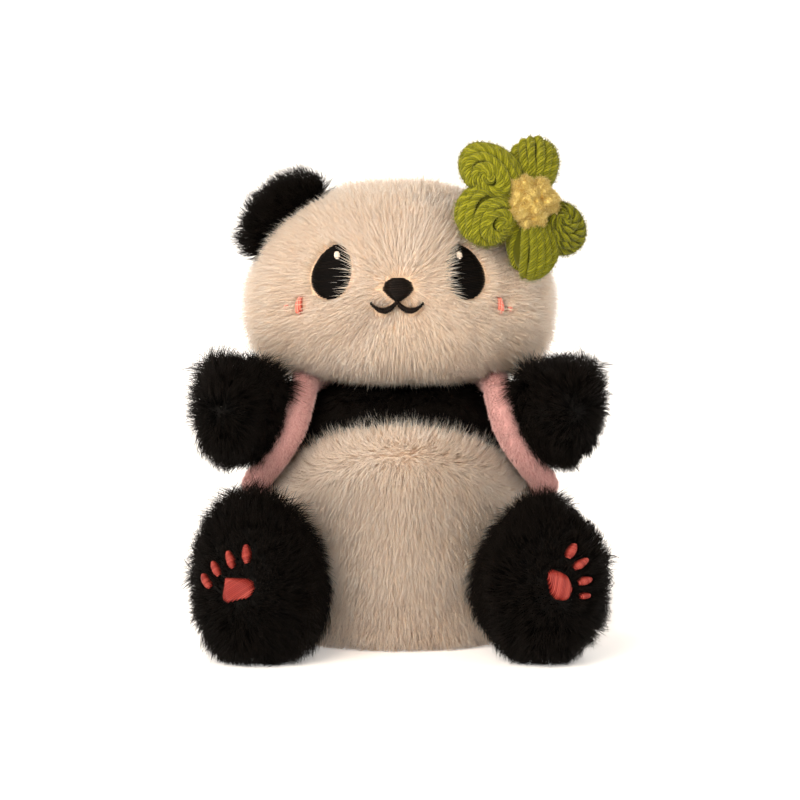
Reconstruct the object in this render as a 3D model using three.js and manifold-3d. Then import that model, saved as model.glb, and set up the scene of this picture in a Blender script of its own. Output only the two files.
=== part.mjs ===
// A seated plush panda, about 14 cm tall, that faces -Y. Its own right side is at -X.
// It is sewn from stuffed pile-cloth skins: a torso, a head, two ears, two arms and two legs. Thread
// embroidery makes the face and the paw prints, a crocheted flower is sewn to the left ear, and two padded
// straps carry a small pouch. Skins are modelled at the cloth, without their pile, so neighbours stand a
// pile's depth apart.
// Millimetres, +Z up, origin on the table under the middle of the toy.

import * as THREE from "three";
import { mergeVertices } from "three/addons/utils/BufferGeometryUtils.js";
import Module from "manifold-3d";

const wasm = await Module();
wasm.setup();

// ---------------------------------------------------------------- driving dimensions

const CLOTH = 1.4; // backing cloth with its folded seam allowance
const GAP = 0.3; // between pieces that lie against each other
const SOCKET_GAP = 0.5; // between a limb's round root and the hollow that it is sewn into
const THREAD_LOW = 0.4; // embroidery starts this far above the cloth
const THREAD_HIGH = 1.5; // and ends this far above it
const FAR = 200; // half the side of a cutting block

const TORSO = { halfWidth: 34, halfDepth: 29, height: 71 };
const BELLY_TOP = 60; // height of the white belly panel's arch at the middle
const BELLY_HALF_WIDTH = 42;
const BELLY_CENTRE_HEIGHT = 24;
const BACK_SEAM_HEIGHT = 47; // black above it, white below, round the back
const SEAT_THICKNESS = 3;

const HEAD = { halfWidth: 38.7, halfDepth: 30, up: 32.6, down: 18.4, centre: [0, -3, 92.7] };
const NECK_RADIUS = 6.5;
const NECK_HOLE_RADIUS = 9;
const NECK_RING_THICKNESS = 0.8;

const EAR = { alongHead: 14, outward: 10.6, halfThickness: 3.6, clearance: 1.4 };
const EAR_CENTRE = [29.5, 0, 22.2]; // from the head's centre, on the left side
const EAR_OUTWARD = [0.754, -0.05, 0.656];

const ARM = {
  rootRadius: 8,
  pivot: [33.5, -6, 60],
  points: [0.45, -0.87, 0.19],
  section: { taper: 0.14, square: 0.8 },
};
const LEG_RECESS = { radius: 14.2, along: 6, up: 3.4 }; // the dent in the belly that lets a leg lift
const LEG = { rootRadius: 11.5, pivot: [29.5, -13.6, 16.5], points: [0.36, -0.93, 0.04] };

// Rows of [distance along the limb, half width, half height, lift of the ring's middle], from the root.
const ARM_ROWS = [
  [7, 8, 8.4, 0.3],
  [13, 9.1, 10.9, 0.9],
  [19, 10, 12.4, 1.2],
  [24.5, 9.9, 12.3, 1.1],
  [28.5, 8.5, 10.8, 0.8],
  [31.2, 5.4, 7.4, 0.5],
  [32.6, 0, 0, 0.3],
];
const LEG_ROWS = [
  [5, 11.2, 11.3, 0.1],
  [10, 12.2, 13.4, 0.8],
  [15.5, 14, 17.2, 2.2],
  [21.5, 15.2, 20.5, 3.3],
  [28, 15.2, 21.3, 3.6],
  [33, 13.6, 19.4, 3.5],
  [36.2, 9.6, 14, 3.2],
  [37.8, 0, 0, 3],
];

// Each paw print's middle on its sole as [across, up], and the degrees that it leans from upright.
const PRINTS = { right: { centre: [0.8, 3.2], lean: 31 }, left: { centre: [-1.2, 4.2], lean: -68 } };
const SOLE_FROM = 25; // distance along a leg at which its sole begins
const TOE = { halfWidth: 1.2, halfHeight: 2.4, reach: 9.1, angles: [44, 16, -17, -44] };

const STRAP = { halfWidth: 3.1, halfThickness: 1.8 };
const POUCH = { halfWidth: 17, halfDepth: 5.4, halfHeight: 16.5, centre: [0, 35.6, 50] };

const FLOWER = { centre: [34.6, -21, 120.6], faces: [0.34, -0.91, 0.24], middleRadius: 5.6 };
const PETAL_HALF_DEPTH = 4.6;
const PETAL_ROOT = 3.5; // distance from the flower's middle to a petal's inner end
const BACKING = { radius: 8, thickness: 1.6, threadRadius: 1.3, threadLength: 5 };
// Each petal is a puff at its own angle and reach in the flower's plane.
const PETALS = [
  { angle: 141, reach: 15.6, radius: 7.2 },
  { angle: 80, reach: 11.9, radius: 6.8 },
  { angle: -34, reach: 12.4, radius: 6.9 },
  { angle: -88, reach: 13.4, radius: 6.8 },
  { angle: 194, reach: 12.4, radius: 8.2 },
];

const COLOURS = {
  white_plush: { color: 0xe6cdb4, roughness: 0.95 },
  black_plush: { color: 0x12100e, roughness: 0.95 },
  stuffing: { color: 0xf2efe8, roughness: 1.0 },
  black_thread: { color: 0x1c1512, roughness: 0.6 },
  white_thread: { color: 0xefe2d4, roughness: 0.55 },
  coral_thread: { color: 0xd8645c, roughness: 0.55 },
  pink_velvet: { color: 0xd99690, roughness: 0.9 },
  green_yarn: { color: 0x8f9a22, roughness: 0.9 },
  yellow_yarn: { color: 0xe2b45c, roughness: 0.9 },
  sewing_thread: { color: 0xe6cdb4, roughness: 0.6 },
};

// ---------------------------------------------------------------- solids

// A closed three.js geometry as a manifold-3d solid.
function solid(geometry) {
  const bare = new THREE.BufferGeometry();
  bare.setAttribute("position", geometry.getAttribute("position"));
  bare.setIndex(geometry.index);
  const merged = mergeVertices(bare, 1e-4);
  const vertProperties = new Float32Array(merged.getAttribute("position").array);
  const triVerts = new Uint32Array(merged.index.array);
  return new wasm.Manifold(new wasm.Mesh({ numProp: 3, vertProperties, triVerts }));
}

// The geometry of a manifold-3d solid.
function geometryOf(made) {
  const mesh = made.getMesh();
  const geometry = new THREE.BufferGeometry();
  geometry.setAttribute("position", new THREE.BufferAttribute(new Float32Array(mesh.vertProperties), 3));
  geometry.setIndex(new THREE.BufferAttribute(new Uint32Array(mesh.triVerts), 1));
  geometry.computeVertexNormals();
  return geometry;
}

// A block that fills the half space on the far side of a plane, along an axis ("x", "y" or "z").
function halfSpace(axis, from, direction) {
  const block = new THREE.BoxGeometry(2 * FAR, 2 * FAR, 2 * FAR);
  const offset = { x: 0, y: 0, z: 0 };
  offset[axis] = from + direction * FAR;
  return solid(block.translate(offset.x, offset.y, offset.z));
}

function ball(centre, radius) {
  return solid(new THREE.SphereGeometry(radius, 14, 9).translate(...centre));
}

function mesh(name, colour, made) {
  const material = new THREE.MeshStandardMaterial({ ...COLOURS[colour], metalness: 0 });
  const object = new THREE.Mesh(geometryOf(made), material);
  object.name = name;
  return object;
}

// A body of revolution about Z from a smooth profile of [radius, height] points, squashed in depth.
function turned(points, steps, segments, depthShare) {
  const profile = new THREE.SplineCurve(points.map(([r, z]) => new THREE.Vector2(r, z))).getPoints(steps);
  profile.forEach((point, i) => {
    point.x = i === 0 || i === steps ? 0 : Math.max(point.x, 0.05);
  });
  const geometry = new THREE.LatheGeometry(profile, segments).rotateX(Math.PI / 2);
  return solid(geometry.scale(1, depthShare, 1));
}

// A closed body through one elliptic ring across Z per row. Rows are [z, half width, half height, lift of
// the ring's middle], and the first and last are its ends. An inset moves the surface inwards. A section may
// be wider above than below, and its upper corners squarer, by shares that grow from the root.
function lofted(rows, segments, inset, section = { taper: 0, square: 1 }) {
  const first = rows[0];
  const last = rows[rows.length - 1];
  const count = rows.length - 1;
  const positions = [0, first[3], first[0] + inset];
  for (const [z, halfWidth, halfHeight, lift] of rows.slice(1, -1)) {
    const level = Math.min(Math.max(z, first[0] + inset), last[0] - inset);
    const grown = Math.min(Math.max((z - 7) / 10, 0), 1);
    for (let j = 0; j < segments; j += 1) {
      const angle = (2 * Math.PI * j) / segments;
      const [c, s] = [Math.cos(angle), Math.sin(angle)];
      const power = s > 0 ? 1 + (section.square - 1) * grown : 1;
      const wide = Math.sign(c) * Math.abs(c) ** power * (1 + section.taper * grown * s);
      const high = Math.sign(s) * Math.abs(s) ** power;
      const across = Math.max(halfWidth - inset, 0.2) * wide;
      const upward = Math.max(halfHeight - inset, 0.2) * high;
      positions.push(across, lift + upward, level);
    }
  }
  positions.push(0, last[3], last[0] - inset);
  const index = [];
  const at = (ring, j) => 1 + (ring - 1) * segments + (j % segments);
  const end = 1 + (count - 1) * segments;
  for (let j = 0; j < segments; j += 1) {
    index.push(0, at(1, j + 1), at(1, j));
    index.push(end, at(count - 1, j), at(count - 1, j + 1));
    for (let ring = 1; ring < count - 1; ring += 1) {
      index.push(at(ring, j), at(ring, j + 1), at(ring + 1, j + 1));
      index.push(at(ring, j), at(ring + 1, j + 1), at(ring + 1, j));
    }
  }
  const geometry = new THREE.BufferGeometry();
  geometry.setAttribute("position", new THREE.Float32BufferAttribute(positions, 3));
  geometry.setIndex(index);
  return solid(geometry);
}

// An egg with its own roundness above and below its widest level, and in plan: 2 is an ellipse, more is
// squarer.
function egg(size, grow, columns, rows) {
  const { halfWidth, halfDepth, up, down, roundUp = 2, roundDown = 2, roundPlan = 2 } = size;
  const geometry = new THREE.SphereGeometry(1, columns, rows).rotateX(Math.PI / 2);
  const position = geometry.getAttribute("position");
  for (let i = 0; i < position.count; i += 1) {
    const [x, y, z] = [position.getX(i), position.getY(i), position.getZ(i)];
    const level = Math.min(Math.abs(z), 1);
    const ring = Math.sqrt(1 - level * level);
    const round = z > 0 ? roundUp : roundDown;
    const spread = ring ** (2 / round);
    const angle = Math.atan2(y, x);
    const [alongX, alongY] = [Math.abs(Math.cos(angle)), Math.abs(Math.sin(angle))];
    const plan = (alongX ** roundPlan + alongY ** roundPlan) ** (-1 / roundPlan);
    const height = Math.sign(z) * level ** (2 / round) * ((z > 0 ? up : down) + grow);
    position.setXYZ(
      i,
      ring < 1e-6 ? 0 : Math.cos(angle) * plan * spread * (halfWidth + grow),
      ring < 1e-6 ? 0 : Math.sin(angle) * plan * spread * (halfDepth + grow),
      height,
    );
  }
  return solid(geometry);
}

// A prism along Y through a flat outline of [x, z] points, from the front (-Y).
function stencil(outline) {
  const shape = new THREE.Shape(outline.map(([x, z]) => new THREE.Vector2(x, z)));
  const prism = new THREE.ExtrudeGeometry(shape, { depth: FAR, bevelEnabled: false, curveSegments: 1 });
  return solid(prism.rotateX(Math.PI / 2));
}

// Points of an egg-shaped outline: blunt at the bottom, narrower at the top, then leaned and moved.
function eggOutline([cx, cz], halfWidth, halfHeight, leanDegrees, narrowing, count) {
  const lean = THREE.MathUtils.degToRad(leanDegrees);
  return Array.from({ length: count }, (_, i) => {
    const angle = (2 * Math.PI * i) / count;
    const x = halfWidth * Math.cos(angle) * (1 - narrowing * Math.sin(angle));
    const z = halfHeight * Math.sin(angle);
    return [cx + x * Math.cos(lean) - z * Math.sin(lean), cz + x * Math.sin(lean) + z * Math.cos(lean)];
  });
}

// ---------------------------------------------------------------- torso

// The torso's shape as [share of the half width, share of the height], from the seat to the neck.
const TORSO_PROFILE = [
  [0, 0],
  [0.4, 0],
  [0.7, 0.002],
  [0.88, 0.08],
  [1, 0.28],
  [1, 0.5],
  [0.965, 0.7],
  [0.88, 0.83],
  [0.7, 0.935],
  [0.4, 0.988],
  [0, 1],
];

function torsoShape(inset) {
  const { halfWidth, halfDepth, height } = TORSO;
  const points = TORSO_PROFILE.map(([r, z]) => [
    Math.max(r * halfWidth - inset, 0),
    inset + z * (height - 2 * inset),
  ]);
  return turned(points, 12, 20, halfDepth / halfWidth).subtract(halfSpace("z", inset, -1));
}

// The hollows that the arms and legs are sewn into, grown by the cloth's thickness for the inner layers.
function limbSockets(grow) {
  const hollows = [];
  for (const limb of [ARM, LEG]) {
    for (const side of [-1, 1]) {
      const [x, y, z] = limb.pivot;
      hollows.push(ball([side * x, y, z], limb.rootRadius + SOCKET_GAP + grow));
    }
  }
  for (const side of [-1, 1]) {
    const [x, y, z] = LEG.pivot.map((value, i) => value + LEG_RECESS.along * LEG.points[i]);
    hollows.push(ball([side * x, y, z + LEG_RECESS.up], LEG_RECESS.radius + grow));
  }
  return hollows.reduce((all, next) => all.add(next));
}

function buildTorso() {
  const group = new THREE.Group();
  const outer = torsoShape(0).subtract(limbSockets(0));
  const hollow = torsoShape(CLOTH).subtract(limbSockets(CLOTH));
  const shell = outer.subtract(hollow);

  const seat = shell.intersect(halfSpace("z", SEAT_THICKNESS, -1));
  const above = shell.intersect(halfSpace("z", SEAT_THICKNESS + GAP, 1));
  const arch = (grow) => {
    const rise = BELLY_TOP - BELLY_CENTRE_HEIGHT;
    const outline = [];
    for (let i = 0; i <= 24; i += 1) {
      const angle = (Math.PI * i) / 24;
      outline.push([
        (BELLY_HALF_WIDTH + grow) * Math.cos(angle),
        BELLY_CENTRE_HEIGHT + (rise + grow) * Math.sin(angle),
      ]);
    }
    outline.push([-BELLY_HALF_WIDTH - grow, -10], [BELLY_HALF_WIDTH + grow, -10]);
    return stencil(outline);
  };
  const backBlock = halfSpace("z", BACK_SEAM_HEIGHT, -1).intersect(halfSpace("y", GAP / 2, 1));
  const backKeepOut = halfSpace("z", BACK_SEAM_HEIGHT + GAP, -1).intersect(halfSpace("y", -GAP / 2, 1));
  const belly = above.intersect(arch(0)).intersect(halfSpace("y", -GAP / 2, -1));
  const band = above.subtract(arch(GAP)).subtract(backKeepOut);

  group.add(
    mesh("seat_panel", "white_plush", seat),
    mesh("belly_panel", "white_plush", belly),
    mesh("back_panel", "white_plush", above.intersect(backBlock)),
    mesh("chest_band", "black_plush", band),
    mesh("torso_stuffing", "stuffing", torsoShape(CLOTH + GAP).subtract(limbSockets(CLOTH + GAP))),
  );
  return group;
}

// ---------------------------------------------------------------- neck

// The gathered seam ring between the torso and the head.
function buildNeck() {
  const group = new THREE.Group();
  group.position.set(0, HEAD.centre[1], TORSO.height + 1.2);
  const ring = new THREE.TorusGeometry(NECK_RADIUS - NECK_RING_THICKNESS, NECK_RING_THICKNESS, 6, 20);
  group.add(mesh("neck_seam_ring", "sewing_thread", solid(ring)));
  return group;
}

// ---------------------------------------------------------------- head

const HEAD_ROUND = { roundUp: 2.25, roundDown: 2.75, roundPlan: 2.15 };

function headShape(grow) {
  return egg({ ...HEAD, ...HEAD_ROUND }, grow, 20, 13);
}

// Face embroidery, as [x, z] outlines measured from the head's centre. Left is +X.
function eyeOutline(side) {
  return eggOutline([side * 17.5, 10.1], 5.1, 7.3, side * 20, 0.16, 20);
}

function noseOutline() {
  return [
    [-4.2, 5.6],
    [-3.4, 7.6],
    [-1.6, 8.6],
    [1.6, 8.6],
    [3.4, 7.6],
    [4.2, 5.6],
    [2.6, 3.6],
    [0.7, 1.9],
    [-0.7, 1.9],
    [-2.6, 3.6],
  ];
}

// The mouth is one wavy line of satin stitch: two smiling arcs that meet under the nose.
function mouthOutline() {
  const count = 14;
  const halfWidth = 7;
  const line = (x) => 1.1 - 2.3 * Math.sin((Math.PI * Math.abs(x)) / (halfWidth * 1.02)) ** 0.8;
  const inward = (x) => Math.min(Math.abs(x) + 1.2, halfWidth) / halfWidth;
  const thickness = (x) => 0.25 + 0.5 * Math.sin(Math.PI * inward(x)) ** 0.7;
  const xs = Array.from({ length: count + 1 }, (_, i) => -halfWidth + (2 * halfWidth * i) / count);
  const under = xs.map((x) => [x, line(x) - thickness(x)]);
  const over = xs.map((x) => [x, line(x) + thickness(x)]).reverse();
  return [...under, ...over];
}

function buildHead() {
  const group = new THREE.Group();
  group.position.set(...HEAD.centre);
  const neckPlug = new THREE.CylinderGeometry(NECK_HOLE_RADIUS, NECK_HOLE_RADIUS, 6, 20);
  const neckHole = solid(neckPlug.rotateX(Math.PI / 2).translate(0, 0, -HEAD.down));
  const shell = headShape(0).subtract(headShape(-CLOTH)).subtract(neckHole);
  group.add(
    mesh("face_panel", "white_plush", shell.intersect(halfSpace("y", -GAP / 2, -1))),
    mesh("head_back_panel", "white_plush", shell.intersect(halfSpace("y", GAP / 2, 1))),
    mesh("head_stuffing", "stuffing", headShape(-CLOTH - GAP)),
  );

  const threadLayer = headShape(THREAD_HIGH).subtract(headShape(THREAD_LOW));
  const embroider = (name, colour, outline) =>
    group.add(mesh(name, colour, threadLayer.intersect(stencil(outline))));
  const highlight = (side, radius) => eggOutline([side * 15.9, 14.2], radius, radius, 0, 0, 10);
  for (const [name, side] of [["right", -1], ["left", 1]]) {
    const eye = threadLayer.intersect(stencil(eyeOutline(side)));
    group.add(mesh(`${name}_eye`, "black_thread", eye.subtract(stencil(highlight(side, 1.1 + GAP)))));
    embroider(`${name}_eye_highlight`, "white_thread", highlight(side, 1.1));
    const inner = eggOutline([side * 26.4, 0.3], 0.65, 2, side * 6, 0, 8);
    const outer = eggOutline([side * 29.2, 0.1], 0.55, 1.7, side * 6, 0, 8);
    embroider(`${name}_cheek_stitch_inner`, "coral_thread", inner);
    embroider(`${name}_cheek_stitch_outer`, "coral_thread", outer);
  }
  embroider("nose", "black_thread", noseOutline());
  embroider("mouth", "black_thread", mouthOutline());
  return group;
}

// ---------------------------------------------------------------- ears

// Each ear is a front and a back piece of cloth, sewn round their edge. The group stands at the ear's root.
function buildEar(name, side) {
  const group = new THREE.Group();
  const outward = new THREE.Vector3(side * EAR_OUTWARD[0], EAR_OUTWARD[1], EAR_OUTWARD[2]).normalize();
  const back = new THREE.Vector3(0, 1, 0);
  const along = new THREE.Vector3().crossVectors(back, outward).normalize();
  back.crossVectors(outward, along);
  const [x, y, z] = EAR_CENTRE;
  group.position.set(side * x, y, z).add(new THREE.Vector3(...HEAD.centre));
  group.quaternion.setFromRotationMatrix(new THREE.Matrix4().makeBasis(along, back, outward));
  group.updateMatrixWorld(true);

  const { alongHead, outward: up, halfThickness, clearance } = EAR;
  const disc = egg({ halfWidth: alongHead, halfDepth: halfThickness, up, down: 5, roundUp: 2.3 }, 0, 18, 10);
  const toEar = group.matrixWorld.clone().invert();
  toEar.multiply(new THREE.Matrix4().setPosition(...HEAD.centre));
  const headHere = headShape(clearance).transform(toEar.elements);
  const ear = disc.subtract(headHere);
  group.add(
    mesh(`${name}_ear_front`, "black_plush", ear.intersect(halfSpace("y", -GAP / 2, -1))),
    mesh(`${name}_ear_back`, "black_plush", ear.intersect(halfSpace("y", GAP / 2, 1))),
  );
  return group;
}

// ---------------------------------------------------------------- limbs

// A limb's own frame: +Z runs from its root to the paw, +Y is its upper side, and the origin is its pivot.
function limbGroup(limb, side) {
  const group = new THREE.Group();
  const [x, y, z] = limb.pivot;
  const along = new THREE.Vector3(side * limb.points[0], limb.points[1], limb.points[2]).normalize();
  const across = new THREE.Vector3().crossVectors(new THREE.Vector3(0, 0, 1), along).normalize();
  const upper = new THREE.Vector3().crossVectors(along, across);
  group.position.set(side * x, y, z);
  group.quaternion.setFromRotationMatrix(new THREE.Matrix4().makeBasis(across, upper, along));
  group.updateMatrixWorld(true);
  return group;
}

// A limb's solid: a round root about the pivot, then the rings of its rows, pulled in by an inset.
function limbShape(limb, rows, inset) {
  const rootRows = [-90, -65, -40, -15, 10].map((degrees) => {
    const angle = THREE.MathUtils.degToRad(degrees);
    const radius = limb.rootRadius * Math.cos(angle);
    return [limb.rootRadius * Math.sin(angle), radius, radius, 0];
  });
  return lofted([...rootRows, ...rows], 16, inset, limb.section);
}

function buildArm(name, side) {
  const group = limbGroup(ARM, side);
  const rootOpening = halfSpace("z", -ARM.rootRadius * 0.6, -1);
  const skin = limbShape(ARM, ARM_ROWS, 0).subtract(limbShape(ARM, ARM_ROWS, CLOTH)).subtract(rootOpening);
  group.add(
    mesh(`${name}_arm_skin`, "black_plush", skin),
    mesh(`${name}_arm_stuffing`, "stuffing", limbShape(ARM, ARM_ROWS, CLOTH + GAP)),
  );
  return group;
}

// The main pad of a paw print, as an outline of [across, up] about its middle, with the toes above it.
const MAIN_PAD = [
  [-4.5, -1],
  [-3.6, -2.9],
  [-1.2, -3.5],
  [1.6, -3.3],
  [3.7, -2.7],
  [4.5, -0.9],
  [3.5, 1.5],
  [1.7, 3.2],
  [-1.2, 3.3],
  [-3.3, 1.6],
];

function buildLeg(name, side) {
  const group = limbGroup(LEG, side);
  const toLeg = group.matrixWorld.clone().invert();
  const floor = halfSpace("z", 0, -1).transform(toLeg.elements);
  const innerFloor = halfSpace("z", CLOTH, -1).transform(toLeg.elements);
  const coreFloor = halfSpace("z", CLOTH + GAP, -1).transform(toLeg.elements);
  const outer = limbShape(LEG, LEG_ROWS, 0).subtract(floor);
  const hollow = limbShape(LEG, LEG_ROWS, CLOTH).subtract(innerFloor);
  const rootOpening = halfSpace("z", -LEG.rootRadius * 0.6, -1);
  group.add(
    mesh(`${name}_leg_skin`, "black_plush", outer.subtract(hollow).subtract(rootOpening)),
    mesh(`${name}_leg_stuffing`, "stuffing", limbShape(LEG, LEG_ROWS, CLOTH + GAP).subtract(coreFloor)),
  );

  const { centre, lean } = PRINTS[name];
  const turned = THREE.MathUtils.degToRad(lean);
  const onPrint = ([x, z]) => [
    centre[0] + x * Math.cos(turned) - z * Math.sin(turned),
    centre[1] + x * Math.sin(turned) + z * Math.cos(turned),
  ];
  const threadLayer = limbShape(LEG, LEG_ROWS, -THREAD_HIGH)
    .subtract(limbShape(LEG, LEG_ROWS, -THREAD_LOW))
    .intersect(halfSpace("z", SOLE_FROM, 1));
  // A stencil runs along -Y. On the sole it runs along the leg's +Z, as seen from in front of the paw.
  const facing = new THREE.Matrix4().makeRotationX(-Math.PI / 2);
  const onSole = (outline) => stencil(outline).transform(facing.elements);
  const embroider = (label, outline) =>
    group.add(mesh(label, "coral_thread", threadLayer.intersect(onSole(outline))));
  embroider(`${name}_main_pad`, MAIN_PAD.map(onPrint));
  TOE.angles.forEach((degrees, i) => {
    const angle = THREE.MathUtils.degToRad(degrees);
    const middle = [-TOE.reach * Math.sin(angle), TOE.reach * Math.cos(angle)];
    const outline = eggOutline(middle, TOE.halfWidth, TOE.halfHeight, degrees, 0.15, 10);
    embroider(`${name}_toe_pad_${i + 1}`, outline.map(onPrint));
  });
  return group;
}

// ---------------------------------------------------------------- straps and pouch

// The path of the left strap's middle, from the pouch's top over the shoulder, round the arm and back.
const STRAP_PATH = [
  [11, 29.2, 62.5],
  [17.5, 17, 69],
  [23.5, 1, 72.6],
  [26, -12.5, 72.2],
  [27, -19.4, 66.5],
  [29.2, -20, 59.5],
  [34, -17.4, 51.8],
  [38.8, -9.5, 45.6],
  [38.8, 3, 42],
  [31.5, 20, 40],
  [18.8, 31.2, 39],
];

function buildStrap(name, side) {
  const route = new THREE.CatmullRomCurve3(STRAP_PATH.map(([x, y, z]) => new THREE.Vector3(side * x, y, z)));
  const section = new THREE.Shape();
  section.absellipse(0, 0, STRAP.halfThickness, STRAP.halfWidth, 0, 2 * Math.PI);
  const options = { steps: 28, curveSegments: 3, extrudePath: route, bevelEnabled: false };
  const tube = solid(new THREE.ExtrudeGeometry(section, options));
  return mesh(`${name}_strap`, "pink_velvet", tube);
}

function buildPouch() {
  const { halfWidth, halfDepth, halfHeight } = POUCH;
  const round = { roundUp: 3, roundDown: 3, roundPlan: 2.6 };
  const pad = egg({ halfWidth, halfDepth, up: halfHeight, down: halfHeight, ...round }, 0, 22, 12);
  const object = mesh("pouch", "pink_velvet", pad);
  object.position.set(...POUCH.centre);
  return object;
}

// ---------------------------------------------------------------- flower

// The flower faces along its group's +Z, with its back against the ear.
function buildFlower() {
  const group = new THREE.Group();
  const faces = new THREE.Vector3(...FLOWER.faces).normalize();
  const right = new THREE.Vector3().crossVectors(new THREE.Vector3(0, 0, 1), faces).normalize();
  const up = new THREE.Vector3().crossVectors(faces, right);
  group.position.set(...FLOWER.centre);
  group.quaternion.setFromRotationMatrix(new THREE.Matrix4().makeBasis(right, up, faces));

  const middle = (grow) => ball([0, 0, 2.4], FLOWER.middleRadius + grow);
  const disc = (radius, thickness, top) => {
    const cylinder = new THREE.CylinderGeometry(radius, radius, thickness, 16).rotateX(Math.PI / 2);
    return solid(cylinder.translate(0, 0, top - thickness / 2));
  };
  const backingTop = -PETAL_HALF_DEPTH - GAP;
  const threadTop = backingTop - BACKING.thickness - GAP;
  PETALS.forEach((petal, i) => {
    const angle = THREE.MathUtils.degToRad(petal.angle);
    const halfLength = (petal.reach + petal.radius - PETAL_ROOT) / 2;
    const puff = new THREE.SphereGeometry(1, 12, 8).scale(halfLength, petal.radius, PETAL_HALF_DEPTH);
    puff.translate(PETAL_ROOT + halfLength, 0, 0).rotateZ(angle);
    const made = solid(puff).intersect(petalSector(i)).subtract(middle(GAP));
    group.add(mesh(`flower_petal_${i + 1}`, "green_yarn", made));
  });
  group.add(
    mesh("flower_centre", "yellow_yarn", middle(0)),
    mesh("flower_backing", "green_yarn", disc(BACKING.radius, BACKING.thickness, backingTop)),
    mesh("flower_sewing", "sewing_thread", disc(BACKING.threadRadius, BACKING.threadLength, threadTop)),
  );
  return group;
}

// The sector of the flower's plane that belongs to one petal, up to half the angle to each neighbour.
function petalSector(index) {
  const degreesTo = (other) => (other.angle - PETALS[index].angle + 720) % 360;
  const others = PETALS.filter((petal, i) => i !== index).map(degreesTo);
  const half = THREE.MathUtils.degToRad(0.5);
  const middle = THREE.MathUtils.degToRad(PETALS[index].angle);
  const from = middle - (360 - Math.max(...others)) * half;
  const to = middle + Math.min(...others) * half;
  const reach = 60;
  const tip = new THREE.Vector2(Math.cos(middle), Math.sin(middle)).multiplyScalar(GAP / 1.2);
  const corners = [from, middle, to].map((angle) => {
    return new THREE.Vector2(Math.cos(angle), Math.sin(angle)).multiplyScalar(reach).add(tip);
  });
  const sector = new THREE.Shape([tip, ...corners]);
  return solid(new THREE.ExtrudeGeometry(sector, { depth: 40, bevelEnabled: false }).translate(0, 0, -20));
}

// ---------------------------------------------------------------- the toy

const toy = new THREE.Group();
toy.add(buildTorso(), buildNeck(), buildHead());
for (const [name, side] of [["right", -1], ["left", 1]]) {
  toy.add(buildEar(name, side), buildArm(name, side), buildLeg(name, side), buildStrap(name, side));
}
toy.add(buildPouch(), buildFlower());

export default toy;
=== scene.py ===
"""The looks of a seated plush panda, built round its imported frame. It faces -Y, and its own left is +X."""
import math

import bpy
import numpy as np
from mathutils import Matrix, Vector
from mathutils.bvhtree import BVHTree
from mathutils.kdtree import KDTree


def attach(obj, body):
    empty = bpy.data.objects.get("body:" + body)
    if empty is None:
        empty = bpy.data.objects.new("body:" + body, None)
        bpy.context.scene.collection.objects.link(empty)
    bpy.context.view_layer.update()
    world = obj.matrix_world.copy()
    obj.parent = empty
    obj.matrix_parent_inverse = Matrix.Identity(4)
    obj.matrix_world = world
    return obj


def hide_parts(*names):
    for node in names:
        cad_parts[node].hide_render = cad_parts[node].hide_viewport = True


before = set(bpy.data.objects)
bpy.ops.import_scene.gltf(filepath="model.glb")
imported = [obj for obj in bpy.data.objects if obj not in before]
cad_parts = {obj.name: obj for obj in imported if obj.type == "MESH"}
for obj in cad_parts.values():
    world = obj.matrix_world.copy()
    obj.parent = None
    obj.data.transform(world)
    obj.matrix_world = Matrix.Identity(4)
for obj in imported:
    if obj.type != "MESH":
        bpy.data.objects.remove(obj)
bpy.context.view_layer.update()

MM = 0.001  # every length below is in millimetres
UP = np.array([0.0, 0.0, 1.0])
SIDES = (("right", -1), ("left", 1))

# ------------------------------------------------------------------ sizes repeated from part.mjs

SEAT_THICKNESS = 3.0
BELLY_TOP = 60.0
BELLY_HALF_WIDTH = 42.0
BELLY_CENTRE_HEIGHT = 24.0
ARCH_DEPTH = 38.0  # from the belly panel's middle to its edge, roughly
BACK_SEAM_HEIGHT = 47.0
HEAD_CENTRE = np.array([0.0, -3.0, 92.7])
EAR_CENTRE = [29.5, 0.0, 22.2]
EAR_OUTWARD = [0.754, -0.05, 0.656]
EAR_REACH = 14.0
ARM = {"pivot": [33.5, -6, 60], "points": [0.45, -0.87, 0.19]}
LEG = {"pivot": [29.5, -13.6, 16.5], "points": [0.36, -0.93, 0.04]}
# Each sole's print, in millimetres across and up from the leg's axis: its main pad's outline and the lean of
# the pad's threads, then its four toes as (middle, half width, half height, degrees of lean).
SOLE_PRINTS = {
    "right": {
        "pad": [(-2.6, 5.5), (0.5, 5.7), (3.0, 5.7), (4.4, 5.0), (4.9, 3.2), (4.1, 1.4), (3.0, 0.6),
                (1.0, 0.2), (-0.9, -0.5), (-2.6, -1.0), (-3.9, -0.5), (-4.0, 0.9), (-3.3, 3.0), (-3.0, 4.5)],
        "pad_lean": 35,
        "toes": [((-8.9, 4.3), 0.95, 2.1, 35), ((-6.0, 7.8), 0.9, 2.05, 28), ((-1.8, 10.4), 1.0, 2.35, 22),
                 ((2.6, 12.1), 1.1, 2.4, 5)],
    },
    "left": {
        "pad": [(-4.3, 7.3), (-3.2, 8.1), (-0.7, 7.3), (1.0, 6.3), (1.7, 4.5), (1.8, 2.6), (0.7, 0.0),
                (-0.7, -0.2), (-2.3, 0.3), (-3.7, 1.9), (-4.1, 3.9), (-4.5, 6.0)],
        "pad_lean": 80,
        "toes": [((2.5, 12.6), 1.15, 2.1, -37), ((5.0, 9.1), 1.0, 2.4, -63), ((6.1, 4.6), 1.05, 2.0, -80),
                 ((6.0, 0.7), 0.8, 1.5, -88)],
    },
}
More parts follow.
